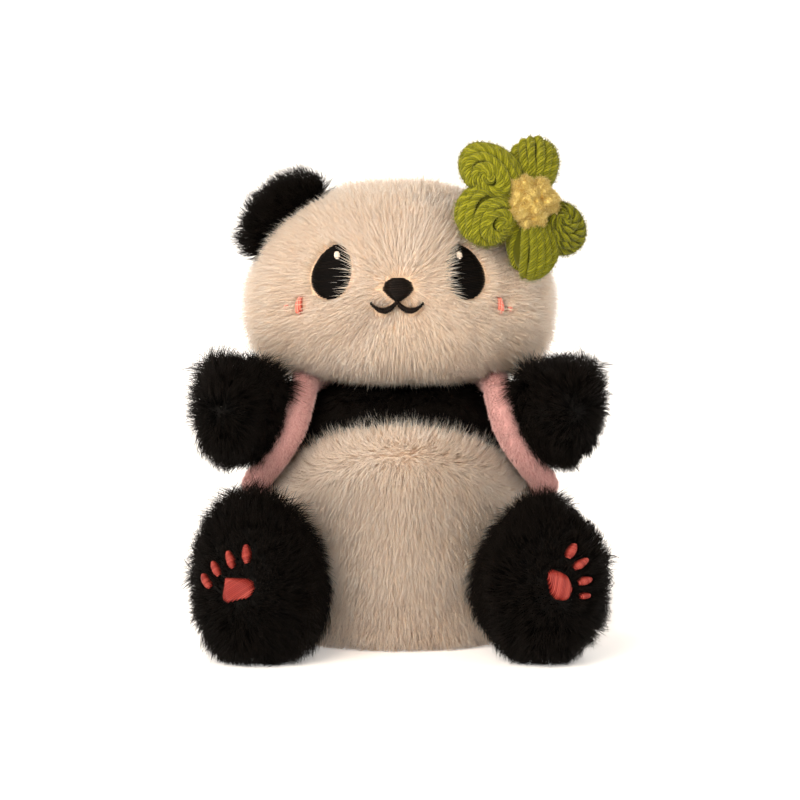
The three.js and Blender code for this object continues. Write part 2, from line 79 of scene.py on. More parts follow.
NOSE = [
    (-4.2, 5.6), (-2.6, 3.9), (-0.7, 2.6), (0.7, 2.6), (2.6, 3.9),
    (4.2, 5.6), (3.4, 7.6), (1.6, 8.6), (-1.6, 8.6), (-3.4, 7.6),
]
POUCH_CENTRE = np.array([0.0, 35.6, 50.0])
FLOWER = {
    "centre": (34.6, -21, 120.6), "faces": (0.34, -0.91, 0.24), "middle_radius": 5.6, "middle_lift": 2.4,
}
PETAL_HALF_DEPTH = 4.6
PETAL_ROOT = 3.5
# (degrees, reach, radius) of each petal in the flower's plane.
PETALS = [(141, 15.6, 7.2), (80, 11.9, 6.8), (-34, 12.4, 6.9), (-88, 13.4, 6.8), (194, 12.4, 8.2)]
BACKING_RADIUS = 8.0
BACKING_MIDDLE = -5.7  # its height in the flower's frame


# ------------------------------------------------------------------ materials

def linear(red, green, blue):
    """A colour as it looks on a screen, 0 to 255, as the shader's own numbers."""
    return tuple((channel / 255) ** 2.2 for channel in (red, green, blue)) + (1.0,)


def set_inputs(node, **values):
    """Sets a shader node's inputs, whose names are written here with _ for each space."""
    for name, value in values.items():
        node.inputs[name.replace("_", " ")].default_value = value


def plain(name, colour, roughness=0.6, specular=0.3, sheen=0.0, tint=(1, 1, 1, 1), translucency=0.0):
    """One fibre's finish. Strands get several of these, so colour varies from strand to strand."""
    material = bpy.data.materials.new(name)
    material.use_nodes = True
    material.diffuse_color = linear(*colour)
    shader = material.node_tree.nodes["Principled BSDF"]
    set_inputs(shader, Base_Color=linear(*colour), Roughness=roughness, Specular_IOR_Level=specular,
               Sheen_Weight=sheen, Sheen_Tint=tint)
    if translucency:
        set_inputs(shader, Subsurface_Weight=translucency, Subsurface_Radius=(1.0, 0.88, 0.76),
                   Subsurface_Scale=0.4 * MM)
    return material


def woven(name, low, high, scale, bump, roughness=0.9):
    """Backing cloth or fibre: colour wanders between two tones, over a fine bumpy weave."""
    material = plain(name, high, roughness, 0.15)
    nodes = material.node_tree.nodes
    links = material.node_tree.links
    shader = nodes["Principled BSDF"]
    position = nodes.new("ShaderNodeTexCoord")
    noise = nodes.new("ShaderNodeTexNoise")
    set_inputs(noise, Scale=scale, Detail=6)
    ramp = nodes.new("ShaderNodeValToRGB")
    for element, colour, share in zip(ramp.color_ramp.elements, (low, high), (0.3, 0.7)):
        element.color = linear(*colour)
        element.position = share
    weave = nodes.new("ShaderNodeTexVoronoi")
    set_inputs(weave, Scale=scale * 8)
    relief = nodes.new("ShaderNodeBump")
    set_inputs(relief, Strength=bump, Distance=0.3 * MM)
    links.new(position.outputs["Object"], noise.inputs["Vector"])
    links.new(position.outputs["Object"], weave.inputs["Vector"])
    links.new(noise.outputs["Fac"], ramp.inputs["Fac"])
    links.new(ramp.outputs["Color"], shader.inputs["Base Color"])
    links.new(weave.outputs["Distance"], relief.inputs["Height"])
    links.new(relief.outputs["Normal"], shader.inputs["Normal"])
    return material


def tones(name, colours, **finish):
    """The finishes of one pile or thread, darkest first: the darker tones are painted shade at roots and
    under threads and yarn, the lighter ones painted light at tips.
    """
    return [plain(f"{name}_{i + 1}", colour, **finish) for i, colour in enumerate(colours)]


# The three darkest white tones are painted shade, for the pile low down and under the head; the rest vary at
# random from strand to strand.
WHITE_PILE = tones("white_pile", [
    (140, 102, 76), (175, 136, 106), (208, 168, 138), (242, 205, 172), (246, 211, 179), (249, 216, 185),
    (251, 221, 191), (253, 225, 197), (254, 230, 204),
], roughness=0.75, specular=0.06, sheen=0.1, tint=(1.0, 0.93, 0.85, 1), translucency=1.0)
BLACK_PILE = tones("black_pile", [
    (9, 7, 6), (13, 11, 9), (17, 14, 11), (22, 18, 15), (33, 27, 22),
], roughness=0.6, specular=0.08)
PINK_NAP = tones("pink_nap", [
    (208, 156, 152), (214, 164, 160), (218, 171, 167), (222, 178, 174), (226, 186, 182),
], roughness=0.6, specular=0.1, sheen=0.3, tint=(1.0, 0.87, 0.84, 1))
GREEN_YARN = tones("green_yarn", [
    (62, 63, 11), (98, 99, 20), (116, 116, 27), (130, 129, 35), (150, 147, 52),
], roughness=0.85, specular=0.06, sheen=0.2, tint=(0.9, 0.95, 0.5, 1))
YELLOW_YARN = tones("yellow_yarn", [
    (166, 108, 38), (184, 148, 70), (194, 168, 90), (202, 181, 108), (211, 194, 132),
], roughness=0.85, specular=0.06, sheen=0.3, tint=(1.0, 0.9, 0.6, 1))
BLACK_THREAD = tones("black_thread", [
    (8, 6, 5), (18, 14, 11), (22, 17, 14), (28, 22, 18),
], roughness=0.45, specular=0.1)
EYE_THREAD = tones("eye_thread", [
    (6, 5, 4), (11, 9, 7), (14, 11, 9), (18, 14, 11),
], roughness=0.5, specular=0.06)
WHITE_THREAD = tones("white_thread", [
    (190, 176, 160), (214, 201, 186), (222, 210, 196), (206, 193, 178),
], roughness=0.5, specular=0.3)
CORAL_THREAD = tones("coral_thread", [
    (80, 23, 20), (121, 42, 37), (132, 50, 43), (145, 61, 53),
], roughness=0.45, specular=0.25)
BLUSH_THREAD = tones("blush_thread", [
    (190, 92, 76), (218, 112, 95), (224, 122, 105), (229, 134, 117),
], roughness=0.5, specular=0.2)
# The white backing cloth is darker than the pile, as painted shade where it shows between strands.
WHITE_CLOTH = woven("white_cloth", (204, 174, 146), (222, 193, 165), 900, 0.4)
BLACK_CLOTH = woven("black_cloth", (9, 8, 7), (16, 14, 12), 900, 0.4)
PINK_CLOTH = woven("pink_cloth", (196, 146, 142), (208, 160, 156), 1200, 0.6)
FIBREFILL = woven("fibrefill", (226, 222, 214), (246, 244, 240), 260, 0.8)
GATHER_THREAD = woven("gather_thread", (206, 182, 158), (232, 212, 190), 1500, 0.5)


# ------------------------------------------------------------------ geometry helpers

def unit(vectors):
    """Vectors at length 1."""
    return vectors / np.maximum(np.linalg.norm(vectors, axis=-1, keepdims=True), 1e-9)


def flat_to(vectors, normals):
    """Vectors with their share along the normals taken out, at length 1."""
    along = (vectors * normals).sum(-1, keepdims=True)
    return unit(vectors - along * normals)


def smoothstep(low, high, value):
    """0 up to low, 1 from high on, and a smooth rise between. The low may be the greater, for a fall."""
    share = np.clip((value - low) / (high - low), 0, 1)
    return share * share * (3 - 2 * share)


def turns(count):
    """So many angles, evenly spaced round a circle."""
    return 2 * math.pi * np.arange(count) / count


def mirrored(vector, side):
    """A vector that is written for the toy's left, side 1, on that side or on the right, side -1."""
    return np.array([side * vector[0], vector[1], vector[2]], float)


def linked(name, data):
    """A new object in the scene."""
    made = bpy.data.objects.new(name, data)
    bpy.context.scene.collection.objects.link(made)
    return made


def make_object(name, points, groups, materials, indices=None):
    """A mesh object from points in millimetres and groups of faces. A group's faces have as many corners as
    each other."""
    groups = [np.asarray(group, np.int32) for group in groups]
    corners = np.concatenate([group.ravel() for group in groups])
    sizes = np.concatenate([np.full(len(group), group.shape[-1]) for group in groups])
    mesh = bpy.data.meshes.new(name)
    mesh.vertices.add(len(points))
    mesh.vertices.foreach_set("co", (np.asarray(points, float) * MM).astype(np.float32).ravel())
    mesh.loops.add(len(corners))
    mesh.loops.foreach_set("vertex_index", corners)
    mesh.polygons.add(len(sizes))
    mesh.polygons.foreach_set("loop_start", np.concatenate([[0], np.cumsum(sizes)[:-1]]).astype(np.int32))
    for material in materials:
        mesh.materials.append(material)
    if indices is not None:
        mesh.polygons.foreach_set("material_index", np.asarray(indices, np.int32))
    mesh.polygons.foreach_set("use_smooth", np.ones(len(sizes), bool))
    mesh.update(calc_edges=True)
    return linked(name, mesh)


def place(made, body, slot, *nodes):
    """Lets a piece ride on its body, and hides the CAD nodes that it stands for. The slot is not used."""
    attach(made, body)
    if nodes:
        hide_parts(*nodes)
    return made


def soft_piece(name, points, groups, material, body, slot, node):
    """A padded piece that stands for a CAD node."""
    made = place(make_object(name, points, groups, [material]), body, slot, node)


def read_points(mesh):
    """A Blender mesh's points as an array."""
    flat = np.zeros(len(mesh.vertices) * 3, np.float32)
    mesh.vertices.foreach_get("co", flat)
    return flat.reshape(-1, 3).astype(float)


def read_triangles(mesh):
    """A Blender mesh's faces as triangles."""
    mesh.calc_loop_triangles()
    flat = np.zeros(len(mesh.loop_triangles) * 3, np.int32)
    mesh.loop_triangles.foreach_get("vertices", flat)
    return flat.reshape(-1, 3)


class Surface:
    """A triangulated skin in millimetres that can be sampled, pierced by rays and cut into panels."""

    def __init__(self, points, triangles, normals=None):
        self.points = points
        self.triangles = triangles
        a, b, c = (points[triangles[:, i]] for i in range(3))
        cross = np.cross(b - a, c - a)
        self.areas = np.linalg.norm(cross, axis=1) / 2
        if normals is None:
            normals = np.zeros_like(points)
            for i in range(3):
                np.add.at(normals, triangles[:, i], cross)
        self.normals = unit(normals)
        self.tree = None

    def sample(self, density, rng):
        """Random points on the surface, so many to the square millimetre, with their smooth normals."""
        count = int(self.areas.sum() * density)
        picked = rng.choice(len(self.areas), count, p=self.areas / self.areas.sum())
        u, v = rng.random(count), rng.random(count)
        over = u + v > 1
        u[over], v[over] = 1 - u[over], 1 - v[over]
        weights = np.stack([1 - u - v, u, v], 1)[..., None]
        corners = self.triangles[picked]
        return (self.points[corners] * weights).sum(1), unit((self.normals[corners] * weights).sum(1))

    def rays(self):
        if self.tree is None:
            self.tree = BVHTree.FromPolygons(self.points.tolist(), self.triangles.tolist())
        return self.tree

    def pierce(self, origin, direction):
        """Where a ray first meets the surface, with the normal there."""
        hit, normal, _, _ = self.rays().ray_cast(Vector(origin), Vector(direction))
        if hit is None:
            hit, normal, _, _ = self.rays().find_nearest(Vector(origin))
        normal = np.array(normal)
        return np.array(hit), -normal if normal @ direction > 0 else normal

    def cut(self, values):
        """The surface split where the value per point is 0: (the part above 0, the part below)."""
        values = np.where(np.abs(values) < 1e-7, 1e-7, values)
        above = (values > 0)[self.triangles]
        count = above.sum(1)
        mixed = (count == 1) | (count == 2)
        split = self.triangles[mixed]
        lone_above = count[mixed] == 1
        lone = np.argmax(above[mixed] == lone_above[:, None], axis=1)
        a, b, c = (split[np.arange(len(split)), (lone + turn) % 3] for turn in range(3))
        total = len(self.points)
        keys = [np.minimum(a, end) * total + np.maximum(a, end) for end in (b, c)]
        edges, index = np.unique(np.concatenate(keys), return_inverse=True)
        low, high = edges // total, edges % total
        share = (values[low] / (values[low] - values[high]))[:, None]
        points = np.concatenate([self.points, self.points[low] * (1 - share) + self.points[high] * share])
        new_normals = self.normals[low] * (1 - share) + self.normals[high] * share
        normals = np.concatenate([self.normals, new_normals])
        ab, ac = total + index.ravel()[: len(a)], total + index.ravel()[len(a):]
        tips = np.stack([a, ab, ac], 1)
        rests = [np.stack([ab, b, c], 1), np.stack([ab, c, ac], 1)]
        halves = []
        for whole, side in ((count == 3, lone_above), (count == 0, ~lone_above)):
            pieces = [self.triangles[whole], tips[side], rests[0][~side], rests[1][~side]]
            used, corners = np.unique(np.concatenate(pieces), return_inverse=True)
            halves.append(Surface(points[used], corners.reshape(-1, 3), normals[used]))
        return halves

    def shell(self, thickness):
        """A closed solid of cloth under this surface: its points and its faces in groups."""
        total = len(self.points)
        edges = np.concatenate([self.triangles[:, [i, (i + 1) % 3]] for i in range(3)])
        keys = np.minimum(edges[:, 0], edges[:, 1]) * total + np.maximum(edges[:, 0], edges[:, 1])
        _, first, times = np.unique(keys, return_index=True, return_counts=True)
        rim = edges[first[times == 1]]
        quads = np.stack([rim[:, 1], rim[:, 0], rim[:, 0] + total, rim[:, 1] + total], 1)
        inner = self.triangles[:, ::-1] + total
        points = np.concatenate([self.points, self.points - self.normals * thickness])
        return points, [self.triangles, inner] + ([quads] if len(quads) else [])


def gathered(surfaces):
    """The points and the triangles of several surfaces, side by side."""
    points = np.concatenate([surface.points for surface in surfaces])
    starts = np.cumsum([0] + [len(surface.points) for surface in surfaces[:-1]])
    return points, np.concatenate([surface.triangles + start for surface, start in zip(surfaces, starts)])


def welded(surfaces):
    """Several surfaces that meet edge to edge, as one."""
    points, triangles = gathered(surfaces)
    normals = np.concatenate([surface.normals for surface in surfaces])
    _, first, index = np.unique(np.round(points, 4), axis=0, return_index=True, return_inverse=True)
    triangles = index.ravel()[triangles]
    kept = (triangles[:, 0] != triangles[:, 1]) & (triangles[:, 1] != triangles[:, 2])
    kept &= triangles[:, 0] != triangles[:, 2]
    return Surface(points[first], triangles[kept], normals[first])


def joined_rays(surfaces):
    """One ray tree of several surfaces."""
    points, triangles = gathered(surfaces)
    return BVHTree.FromPolygons(points.tolist(), triangles.tolist())


# ------------------------------------------------------------------ stuffed skins

SIM_SCALE = 5.0  # the simulation runs on copies this many times the toy's size
PRESSURE = 4.0
SIM_FRAMES = 20
DRAWN_IN = 0.75  # share of its swelling that a skin is drawn in by beforehand
LOWEST = 0.05  # no skin goes lower

# Skin: the CAD nodes that fill it, the voxel of its remesh, and how far a point may swell.
SKINS = {
    "torso": (["seat_panel", "belly_panel", "back_panel", "chest_band", "torso_stuffing"], 1.9, 1.3),
    "head": (["face_panel", "head_back_panel", "head_stuffing"], 1.9, 1.3),
    "pouch": (["pouch"], 1.4, 1.1),
}
for side, _ in SIDES:
    SKINS[f"{side}_arm"] = ([f"{side}_arm_skin", f"{side}_arm_stuffing"], 1.5, 0.9)
    SKINS[f"{side}_leg"] = ([f"{side}_leg_skin", f"{side}_leg_stuffing"], 1.6, 1.0)
    SKINS[f"{side}_ear"] = ([f"{side}_ear_front", f"{side}_ear_back"], 1.1, 0.7)
    SKINS[f"{side}_strap"] = ([f"{side}_strap"], 0.9, 0.35)


def add_cloth(made):
    """Cloth that swells under pressure, without gravity."""
    cloth = made.modifiers.new("Cloth", "CLOTH")
    settings = cloth.settings
    settings.quality = 4
    settings.mass = 0.3
    settings.use_pressure = True
    settings.uniform_pressure_force = PRESSURE
    settings.effector_weights.gravity = 0
    cloth.collision_settings.use_collision = False
    cloth.point_cache.frame_start = 1
    cloth.point_cache.frame_end = SIM_FRAMES


def evaluated(made):
    """An object's mesh with its modifiers applied."""
    graph = bpy.context.evaluated_depsgraph_get()
    return bpy.data.meshes.new_from_object(made.evaluated_get(graph))


def remeshed(name):
    """The skin's CAD nodes as one even closed mesh at the simulation's scale, with room left to swell."""
    nodes, voxel, swell = SKINS[name]
    meshes = [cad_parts[node].data for node in nodes]
    solids = [Surface(read_points(mesh) / MM, read_triangles(mesh)) for mesh in meshes]
    points, triangles = gathered(solids)
    made = make_object(f"sim_{name}", points * SIM_SCALE, [triangles], [])
    remesh = made.modifiers.new("Remesh", "REMESH")
    remesh.mode = "VOXEL"
    remesh.voxel_size = voxel * MM * SIM_SCALE
    even = made.modifiers.new("Smooth", "SMOOTH")
    even.iterations = 1 if "strap" in name else 5
    if "strap" not in name:
        drawn_in = made.modifiers.new("Displace", "DISPLACE")
        drawn_in.mid_level = 0
        drawn_in.strength = -DRAWN_IN * swell * MM * SIM_SCALE
    mesh = evaluated(made)
    made.modifiers.clear()
    made.data = mesh
    return made


def stuffed_skins():
    """Each skin's outer surface, swollen by cloth simulation under pressure."""
    copies = {name: remeshed(name) for name in SKINS}
    rest = {name: read_points(made.data) for name, made in copies.items()}
    for made in copies.values():
        add_cloth(made)
    for number in range(1, SIM_FRAMES + 1):
        bpy.context.scene.frame_set(number)
    surfaces = {}
    for name, made in copies.items():
        moved = rest[name]
        swell = read_points(evaluated(made)) - rest[name]
        size = np.linalg.norm(swell, axis=1, keepdims=True)
        most = SKINS[name][2] * MM * SIM_SCALE
        moved = rest[name] + swell * np.minimum(1, most / np.maximum(size, 1e-9))
        made.modifiers.clear()
        made.data.vertices.foreach_set("co", moved.astype(np.float32).ravel())
        finer = made.modifiers.new("Subdivision", "SUBSURF")
        finer.levels = finer.render_levels = 1
        mesh = evaluated(made)
        surface = Surface(read_points(mesh) / MM / SIM_SCALE, read_triangles(mesh))
        surface.points[:, 2] = np.maximum(surface.points[:, 2], LOWEST)
        surfaces[name] = surface
        bpy.data.objects.remove(made)
    bpy.context.scene.frame_set(1)
    return surfaces


skins = stuffed_skins()


def drawn_in_along(name, values, depth):
    """Pulls a skin in along a seam, where the value is 0, as sewn cloth does."""
    skin = skins[name]
    channel = depth * np.exp(-((values / SEAM_WIDTH) ** 2))
    skins[name] = Surface(skin.points - skin.normals * channel[:, None], skin.triangles)


def arch_value(points):
    """Millimetres inside the belly panel's arch, roughly."""
    above = np.maximum(points[:, 2] - BELLY_CENTRE_HEIGHT, 0)
    reach = np.hypot(points[:, 0] / BELLY_HALF_WIDTH, above / (BELLY_TOP - BELLY_CENTRE_HEIGHT))
    return (1 - reach) * ARCH_DEPTH


def arch_outward(points):
    """The direction that leads out of the belly panel's arch, level with the front."""
    above = np.maximum(points[:, 2] - BELLY_CENTRE_HEIGHT, 0)
    height = BELLY_TOP - BELLY_CENTRE_HEIGHT
    sideways = points[:, 0] / BELLY_HALF_WIDTH ** 2
    return unit(np.stack([sideways, np.zeros(len(points)), above / height ** 2 + 1e-4], 1))


def ear_axes(side):
    """An ear's directions: along the head, back, and outward."""
    outward = unit(mirrored(EAR_OUTWARD, side))
    along = unit(np.cross([0.0, 1.0, 0.0], outward))
    return along, np.cross(outward, along), outward


def ear_root(side):
    """Where an ear stands on the head."""
    return HEAD_CENTRE + mirrored(EAR_CENTRE, side)


SEAM_WIDTH = 1.6
TORSO_SEAM_DEPTH = 0.9
HEAD_SEAM_DEPTH = 0.6
CLOTH_THICKNESS = 0.9
STUFFING_GAP = 0.3


def cut_panels():
    """The cloth panels of the torso, the head and the ears: {name: surface}."""
    torso = skins["torso"].points
    seam = np.where(torso[:, 1] < 0, arch_value(torso), BACK_SEAM_HEIGHT - torso[:, 2])
    drawn_in_along("torso", seam, TORSO_SEAM_DEPTH)
    drawn_in_along("head", skins["head"].points[:, 1] - HEAD_CENTRE[1], HEAD_SEAM_DEPTH)
    seat, rest = skins["torso"].cut(SEAT_THICKNESS - skins["torso"].points[:, 2])
    front, rear = rest.cut(-rest.points[:, 1])
    belly, band_front = front.cut(arch_value(front.points))
    back, band_rear = rear.cut(BACK_SEAM_HEIGHT - rear.points[:, 2])
    face, head_back = skins["head"].cut(HEAD_CENTRE[1] - skins["head"].points[:, 1])
    panels = {
        "seat_panel": seat, "belly_panel": belly, "back_panel": back,
        "chest_band": welded([band_front, band_rear]), "face_panel": face, "head_back_panel": head_back,
    }
    for name, side in SIDES:
        ear = skins[f"{name}_ear"]
        depth = (ear.points - ear_root(side)) @ ear_axes(side)[1]
        panels[f"{name}_ear_front"], panels[f"{name}_ear_back"] = ear.cut(-depth)
    return panels


def is_black(panel):
    """Whether a panel is of black plush: the ears, the limbs and the chest band."""
    return "ear" in panel or "skin" in panel or panel == "chest_band"


panels = cut_panels()
for name in ("torso", "head", "right_arm", "left_arm", "right_leg", "left_leg"):
    skin = skins[name]
    filling = skin.points - skin.normals * (CLOTH_THICKNESS + STUFFING_GAP)
    soft_piece(f"fibrefill_{name}", filling, [skin.triangles], FIBREFILL, name, "stuffing",
               f"{name}_stuffing")
BODY_OF_PANEL = {panel: "torso" for panel in ("seat_panel", "belly_panel", "back_panel", "chest_band")}
BODY_OF_PANEL.update({"face_panel": "head", "head_back_panel": "head"})
for name, _ in SIDES:
    BODY_OF_PANEL[f"{name}_ear_front"] = BODY_OF_PANEL[f"{name}_ear_back"] = f"{name}_ear"
    for limb in ("arm", "leg"):
        panels[f"{name}_{limb}_skin"] = skins[f"{name}_{limb}"]
        BODY_OF_PANEL[f"{name}_{limb}_skin"] = f"{name}_{limb}"
for name, panel in panels.items():
    cloth, slot = (BLACK_CLOTH, "black_plush") if is_black(name) else (WHITE_CLOTH, "white_plush")
    points, groups = panel.shell(CLOTH_THICKNESS)
    soft_piece(f"cloth_{name}", points, groups, cloth, BODY_OF_PANEL[name], slot, name)


# ------------------------------------------------------------------ tubes and threads

class Batch:
    """Points and faces gathered into one mesh."""

    def __init__(self):
        self.points, self.quads, self.tris, self.quad_tones, self.tri_tones = [], [], [], [], []
        self.total = 0

    def add(self, points, quads, tris, tone=0):
        self.points.append(points)
        self.quads.append(np.asarray(quads) + self.total)
        self.tris.append(np.asarray(tris) + self.total)
        self.quad_tones.append(np.full(len(quads), tone))
        self.tri_tones.append(np.full(len(tris), tone))
        self.total += len(points)

    def make(self, name, materials):
        groups = [np.concatenate(self.quads), np.concatenate(self.tris)]
        tone = np.concatenate(self.quad_tones + self.tri_tones)
        return make_object(name, np.concatenate(self.points), groups, materials, tone)


def tube_faces(rings, sides):
    """The faces between rings of points, and the two fans to its end points, which come after the rings."""
    i, j = np.meshgrid(np.arange(rings - 1) * sides, np.arange(sides), indexing="ij")
    following = (j + 1) % sides
    quads = np.stack([i + j, i + following, i + sides + following, i + sides + j], -1)
    corner = np.arange(sides)
    turned = (corner + 1) % sides
    last = (rings - 1) * sides
    first_fan = np.stack([np.full(sides, rings * sides), turned, corner], 1)
    last_fan = np.stack([np.full(sides, rings * sides + 1), last + corner, last + turned], 1)
    return quads.reshape(-1, 4), np.concatenate([first_fan, last_fan])


def tube(path, radii, sides, reference):
    """A closed tube round a path. The reference vectors say which way its first corner faces."""
    tangent = unit(np.gradient(path, axis=0))
    across = flat_to(np.broadcast_to(reference, path.shape), tangent)
    other = np.cross(tangent, across)
    turn = turns(sides)
    ring = across[:, None] * np.cos(turn)[None, :, None] + other[:, None] * np.sin(turn)[None, :, None]
    radii = np.broadcast_to(radii, (len(path),))
    points = (path[:, None] + ring * radii[:, None, None]).reshape(-1, 3)
    return np.concatenate([points, path[:1], path[-1:]]), *tube_faces(len(path), sides)


def inside(outline, points):
    """Whether each flat point lies in the outline."""
    outline = np.asarray(outline, float)
    x, y = points[:, 0], points[:, 1]
    found = np.zeros(len(points), bool)
    for (x0, y0), (x1, y1) in zip(outline, np.roll(outline, -1, axis=0)):
        if y0 == y1:
            continue
        level = (y0 > y) != (y1 > y)
        found ^= level & (x < (x1 - x0) * (y - y0) / (y1 - y0) + x0)
    return found


def turned_by(points, degrees):
    """Flat points turned anticlockwise."""
    angle = math.radians(degrees)
    turn = np.array([[math.cos(angle), math.sin(angle)], [-math.sin(angle), math.cos(angle)]])
    return np.asarray(points, float) @ turn


def row_ends(outline, level):
    """Where a level line enters and leaves the outline."""
    found = []
    for (x0, y0), (x1, y1) in zip(outline, np.roll(outline, -1, axis=0)):
        if (y0 > level) != (y1 > level):
            found.append(x0 + (x1 - x0) * (level - y0) / (y1 - y0))
    return (min(found), max(found)) if len(found) > 1 else None


THREAD_PITCH = 0.42
THREAD_RADIUS = 0.27
THREAD_STEP = 0.7  # between the bends of one thread
THREAD_SUNK = 0.2  # how far the ends of a thread go into the cloth
RAGGED = 0.12  # how far a stitch may reach past its outline
PAD_GAP = 0.22  # between the threads' middles and the pad under them
PAD_SUNK = 1.0  # how far the pad goes into the cloth
PAD_COLUMNS = 7
NO_TRIANGLES = np.zeros((0, 3), int)


def pad_under(rows):
    """A closed pad under rows of stitches, from each row's upper and lower points."""
    points = np.concatenate([upper for upper, _ in rows] + [lower for _, lower in rows])
    index = np.arange(len(rows) * PAD_COLUMNS).reshape(len(rows), PAD_COLUMNS)
    top = np.stack([index[:-1, :-1], index[:-1, 1:], index[1:, 1:], index[1:, :-1]], -1).reshape(-1, 4)
    rim = np.concatenate([index[0], index[1:, -1], index[-1, -2::-1], index[-2:0:-1, 0]])
    following = np.roll(rim, -1)
    skirt = np.stack([rim, rim + index.size, following + index.size, following], 1)
    return points, np.concatenate([top, top[:, ::-1] + index.size, skirt])


def embroider(name, outline, onto, degrees, rise, materials, body, slot, node, rng):
    """Satin stitch: rows of thread over a pad. onto(flat points) gives places on the cloth and normals."""
    flat = turned_by(outline, -degrees)
    low, high = flat[:, 1].min(), flat[:, 1].max()
    count = max(2, round((high - low) / THREAD_PITCH))
    batch = Batch()
    rows = []
    for row in range(count):
        share = (row + 0.5) / count
        level = low + (high - low) * share
        ends = row_ends(flat, level)
        if ends is None:
            continue
        first, last = ends[0] - rng.random() * RAGGED, ends[1] + rng.random() * RAGGED
        samples = max(5, int((last - first) / THREAD_STEP) + 3)
        along = np.linspace(0, 1, samples)
        row_points = np.stack([first + (last - first) * along, np.full(samples, level)], 1)
        places, normals = onto(turned_by(row_points, degrees))
        crown = (1 - np.abs(2 * along - 1) ** 4) * (0.65 + 0.35 * (1 - abs(2 * share - 1) ** 3))
        path = places + normals * ((rise + THREAD_SUNK) * crown - THREAD_SUNK)[:, None]
        radii = THREAD_RADIUS * (0.6 + 0.4 * (1 - np.abs(2 * along - 1) ** 6))
        batch.add(*tube(path, radii, 6, normals), tone=rng.integers(1, len(materials)))
        columns = np.linspace(0, 1, PAD_COLUMNS)
        across = np.stack([np.interp(columns, along, path[:, k]) for k in range(3)], 1)
        away = np.stack([np.interp(columns, along, normals[:, k]) for k in range(3)], 1)
        rows.append((across - away * PAD_GAP, across - away * (rise + PAD_SUNK)))
    # The pad under the threads takes the darkest tone, as painted shade between the threads.
    if len(rows) > 1:
        batch.add(*pad_under(rows), NO_TRIANGLES, tone=0)
    return place(batch.make(name, materials), body, slot, node)


def egg_outline(centre, half_width, half_height, degrees, narrowing, count=28):
    """An egg-shaped outline: blunt at the bottom, narrower at the top, leaned and moved."""
    angle = turns(count)
    x = half_width * np.cos(angle) * (1 - narrowing * np.sin(angle))
    return turned_by(np.stack([x, half_height * np.sin(angle)], 1), degrees) + np.asarray(centre, float)


def mouth_outline():
    """One wavy line of stitching: two smiling arcs that meet under the nose."""
    half = 7.0
    x = np.linspace(-half, half, 41)
    line = 1.1 - 2.3 * np.sin(np.pi * np.abs(x) / (half * 1.02)) ** 0.8
    inward = np.minimum(np.abs(x) + 1.2, half) / half
    thick = 0.3 + 0.5 * np.sin(np.pi * inward) ** 0.7
    under, over = np.stack([x, line - thick], 1), np.stack([x, line + thick], 1)
    return np.concatenate([under, over[::-1]])


FACE_ASIDE = -0.5  # the stitched features sit a little to the toy's right


def onto_face(flat):
    """Flat [x, z] points, from the head's centre, laid on the face from the front."""
    found = [skins["head"].pierce((x, -80, HEAD_CENTRE[2] + z), (0, 1, 0)) for x, z in flat]
    normals = unit(np.array([normal for _, normal in found]) + np.array([0, -0.6, 0]))
    return np.array([point for point, _ in found]), normals


def limb_axes(limb, side):
    """A limb's own directions: across, upper side, and from its root to its paw."""
    along = unit(mirrored(limb["points"], side))
    across = unit(np.cross(UP, along))
    return across, np.cross(along, across), along


def pivot_of(limb, side):
    """The place that a limb turns about."""
    return mirrored(limb["pivot"], side)


def onto_sole(name, side):
    """Flat [across, up] points in a leg's frame, laid on its sole from the front."""
    across, upper, along = limb_axes(LEG, side)

    def laid(flat):
        starts = [pivot_of(LEG, side) + across * x + upper * z + along * 70 for x, z in flat]
        found = [skins[f"{name}_leg"].pierce(start, -along) for start in starts]
        normals = unit(np.array([normal for _, normal in found]) + along * 0.8)
        return np.array([point for point, _ in found]), normals

    return laid


rng = np.random.default_rng(11)
FACE_OUTLINES = {}
for name, side in SIDES:
    FACE_OUTLINES[f"{name}_eye"] = egg_outline((side * 17.5, 10.1), 5.1, 7.3, side * 20, 0.16)
    FACE_OUTLINES[f"{name}_eye_highlight"] = egg_outline((side * 15.9, 14.2), 0.95, 0.95, 0, 0)
    cheek = f"{name}_cheek_stitch"
    FACE_OUTLINES[f"{cheek}_inner"] = egg_outline((side * 26.5 + 0.4, 1.0), 0.7, 2.7, side * 4, 0)
    FACE_OUTLINES[f"{cheek}_outer"] = egg_outline((side * 29.6, 0.6), 0.55, 1.7, side * 4, 0)
FACE_OUTLINES["nose"] = np.array(NOSE, float)
FACE_OUTLINES["mouth"] = mouth_outline() + np.array([-0.3, 1.3])
# End of a piece's name: (direction of its threads, how far it stands off the cloth, thread, slot).
FACE_THREADS = {
    "eye": (8, 1.7, EYE_THREAD, "black_thread"),
    "highlight": (8, 2.2, WHITE_THREAD, "white_thread"),
    "stitch_inner": (90, 1.9, BLUSH_THREAD, "coral_thread"),
    "stitch_outer": (90, 1.3, BLUSH_THREAD, "coral_thread"),
    "nose": (0, 3.0, BLACK_THREAD, "black_thread"),
    "mouth": (90, 2.8, BLACK_THREAD, "black_thread"),
}
FACE_OUTLINES = {name: outline + np.array([FACE_ASIDE, 0]) for name, outline in FACE_OUTLINES.items()}
for name, outline in FACE_OUTLINES.items():
    kind = next(kind for kind in FACE_THREADS if name.endswith(kind))
    degrees, rise, threads, slot = FACE_THREADS[kind]
    embroider(f"stitched_{name}", outline, onto_face, degrees, rise, threads, "head", slot, name, rng)

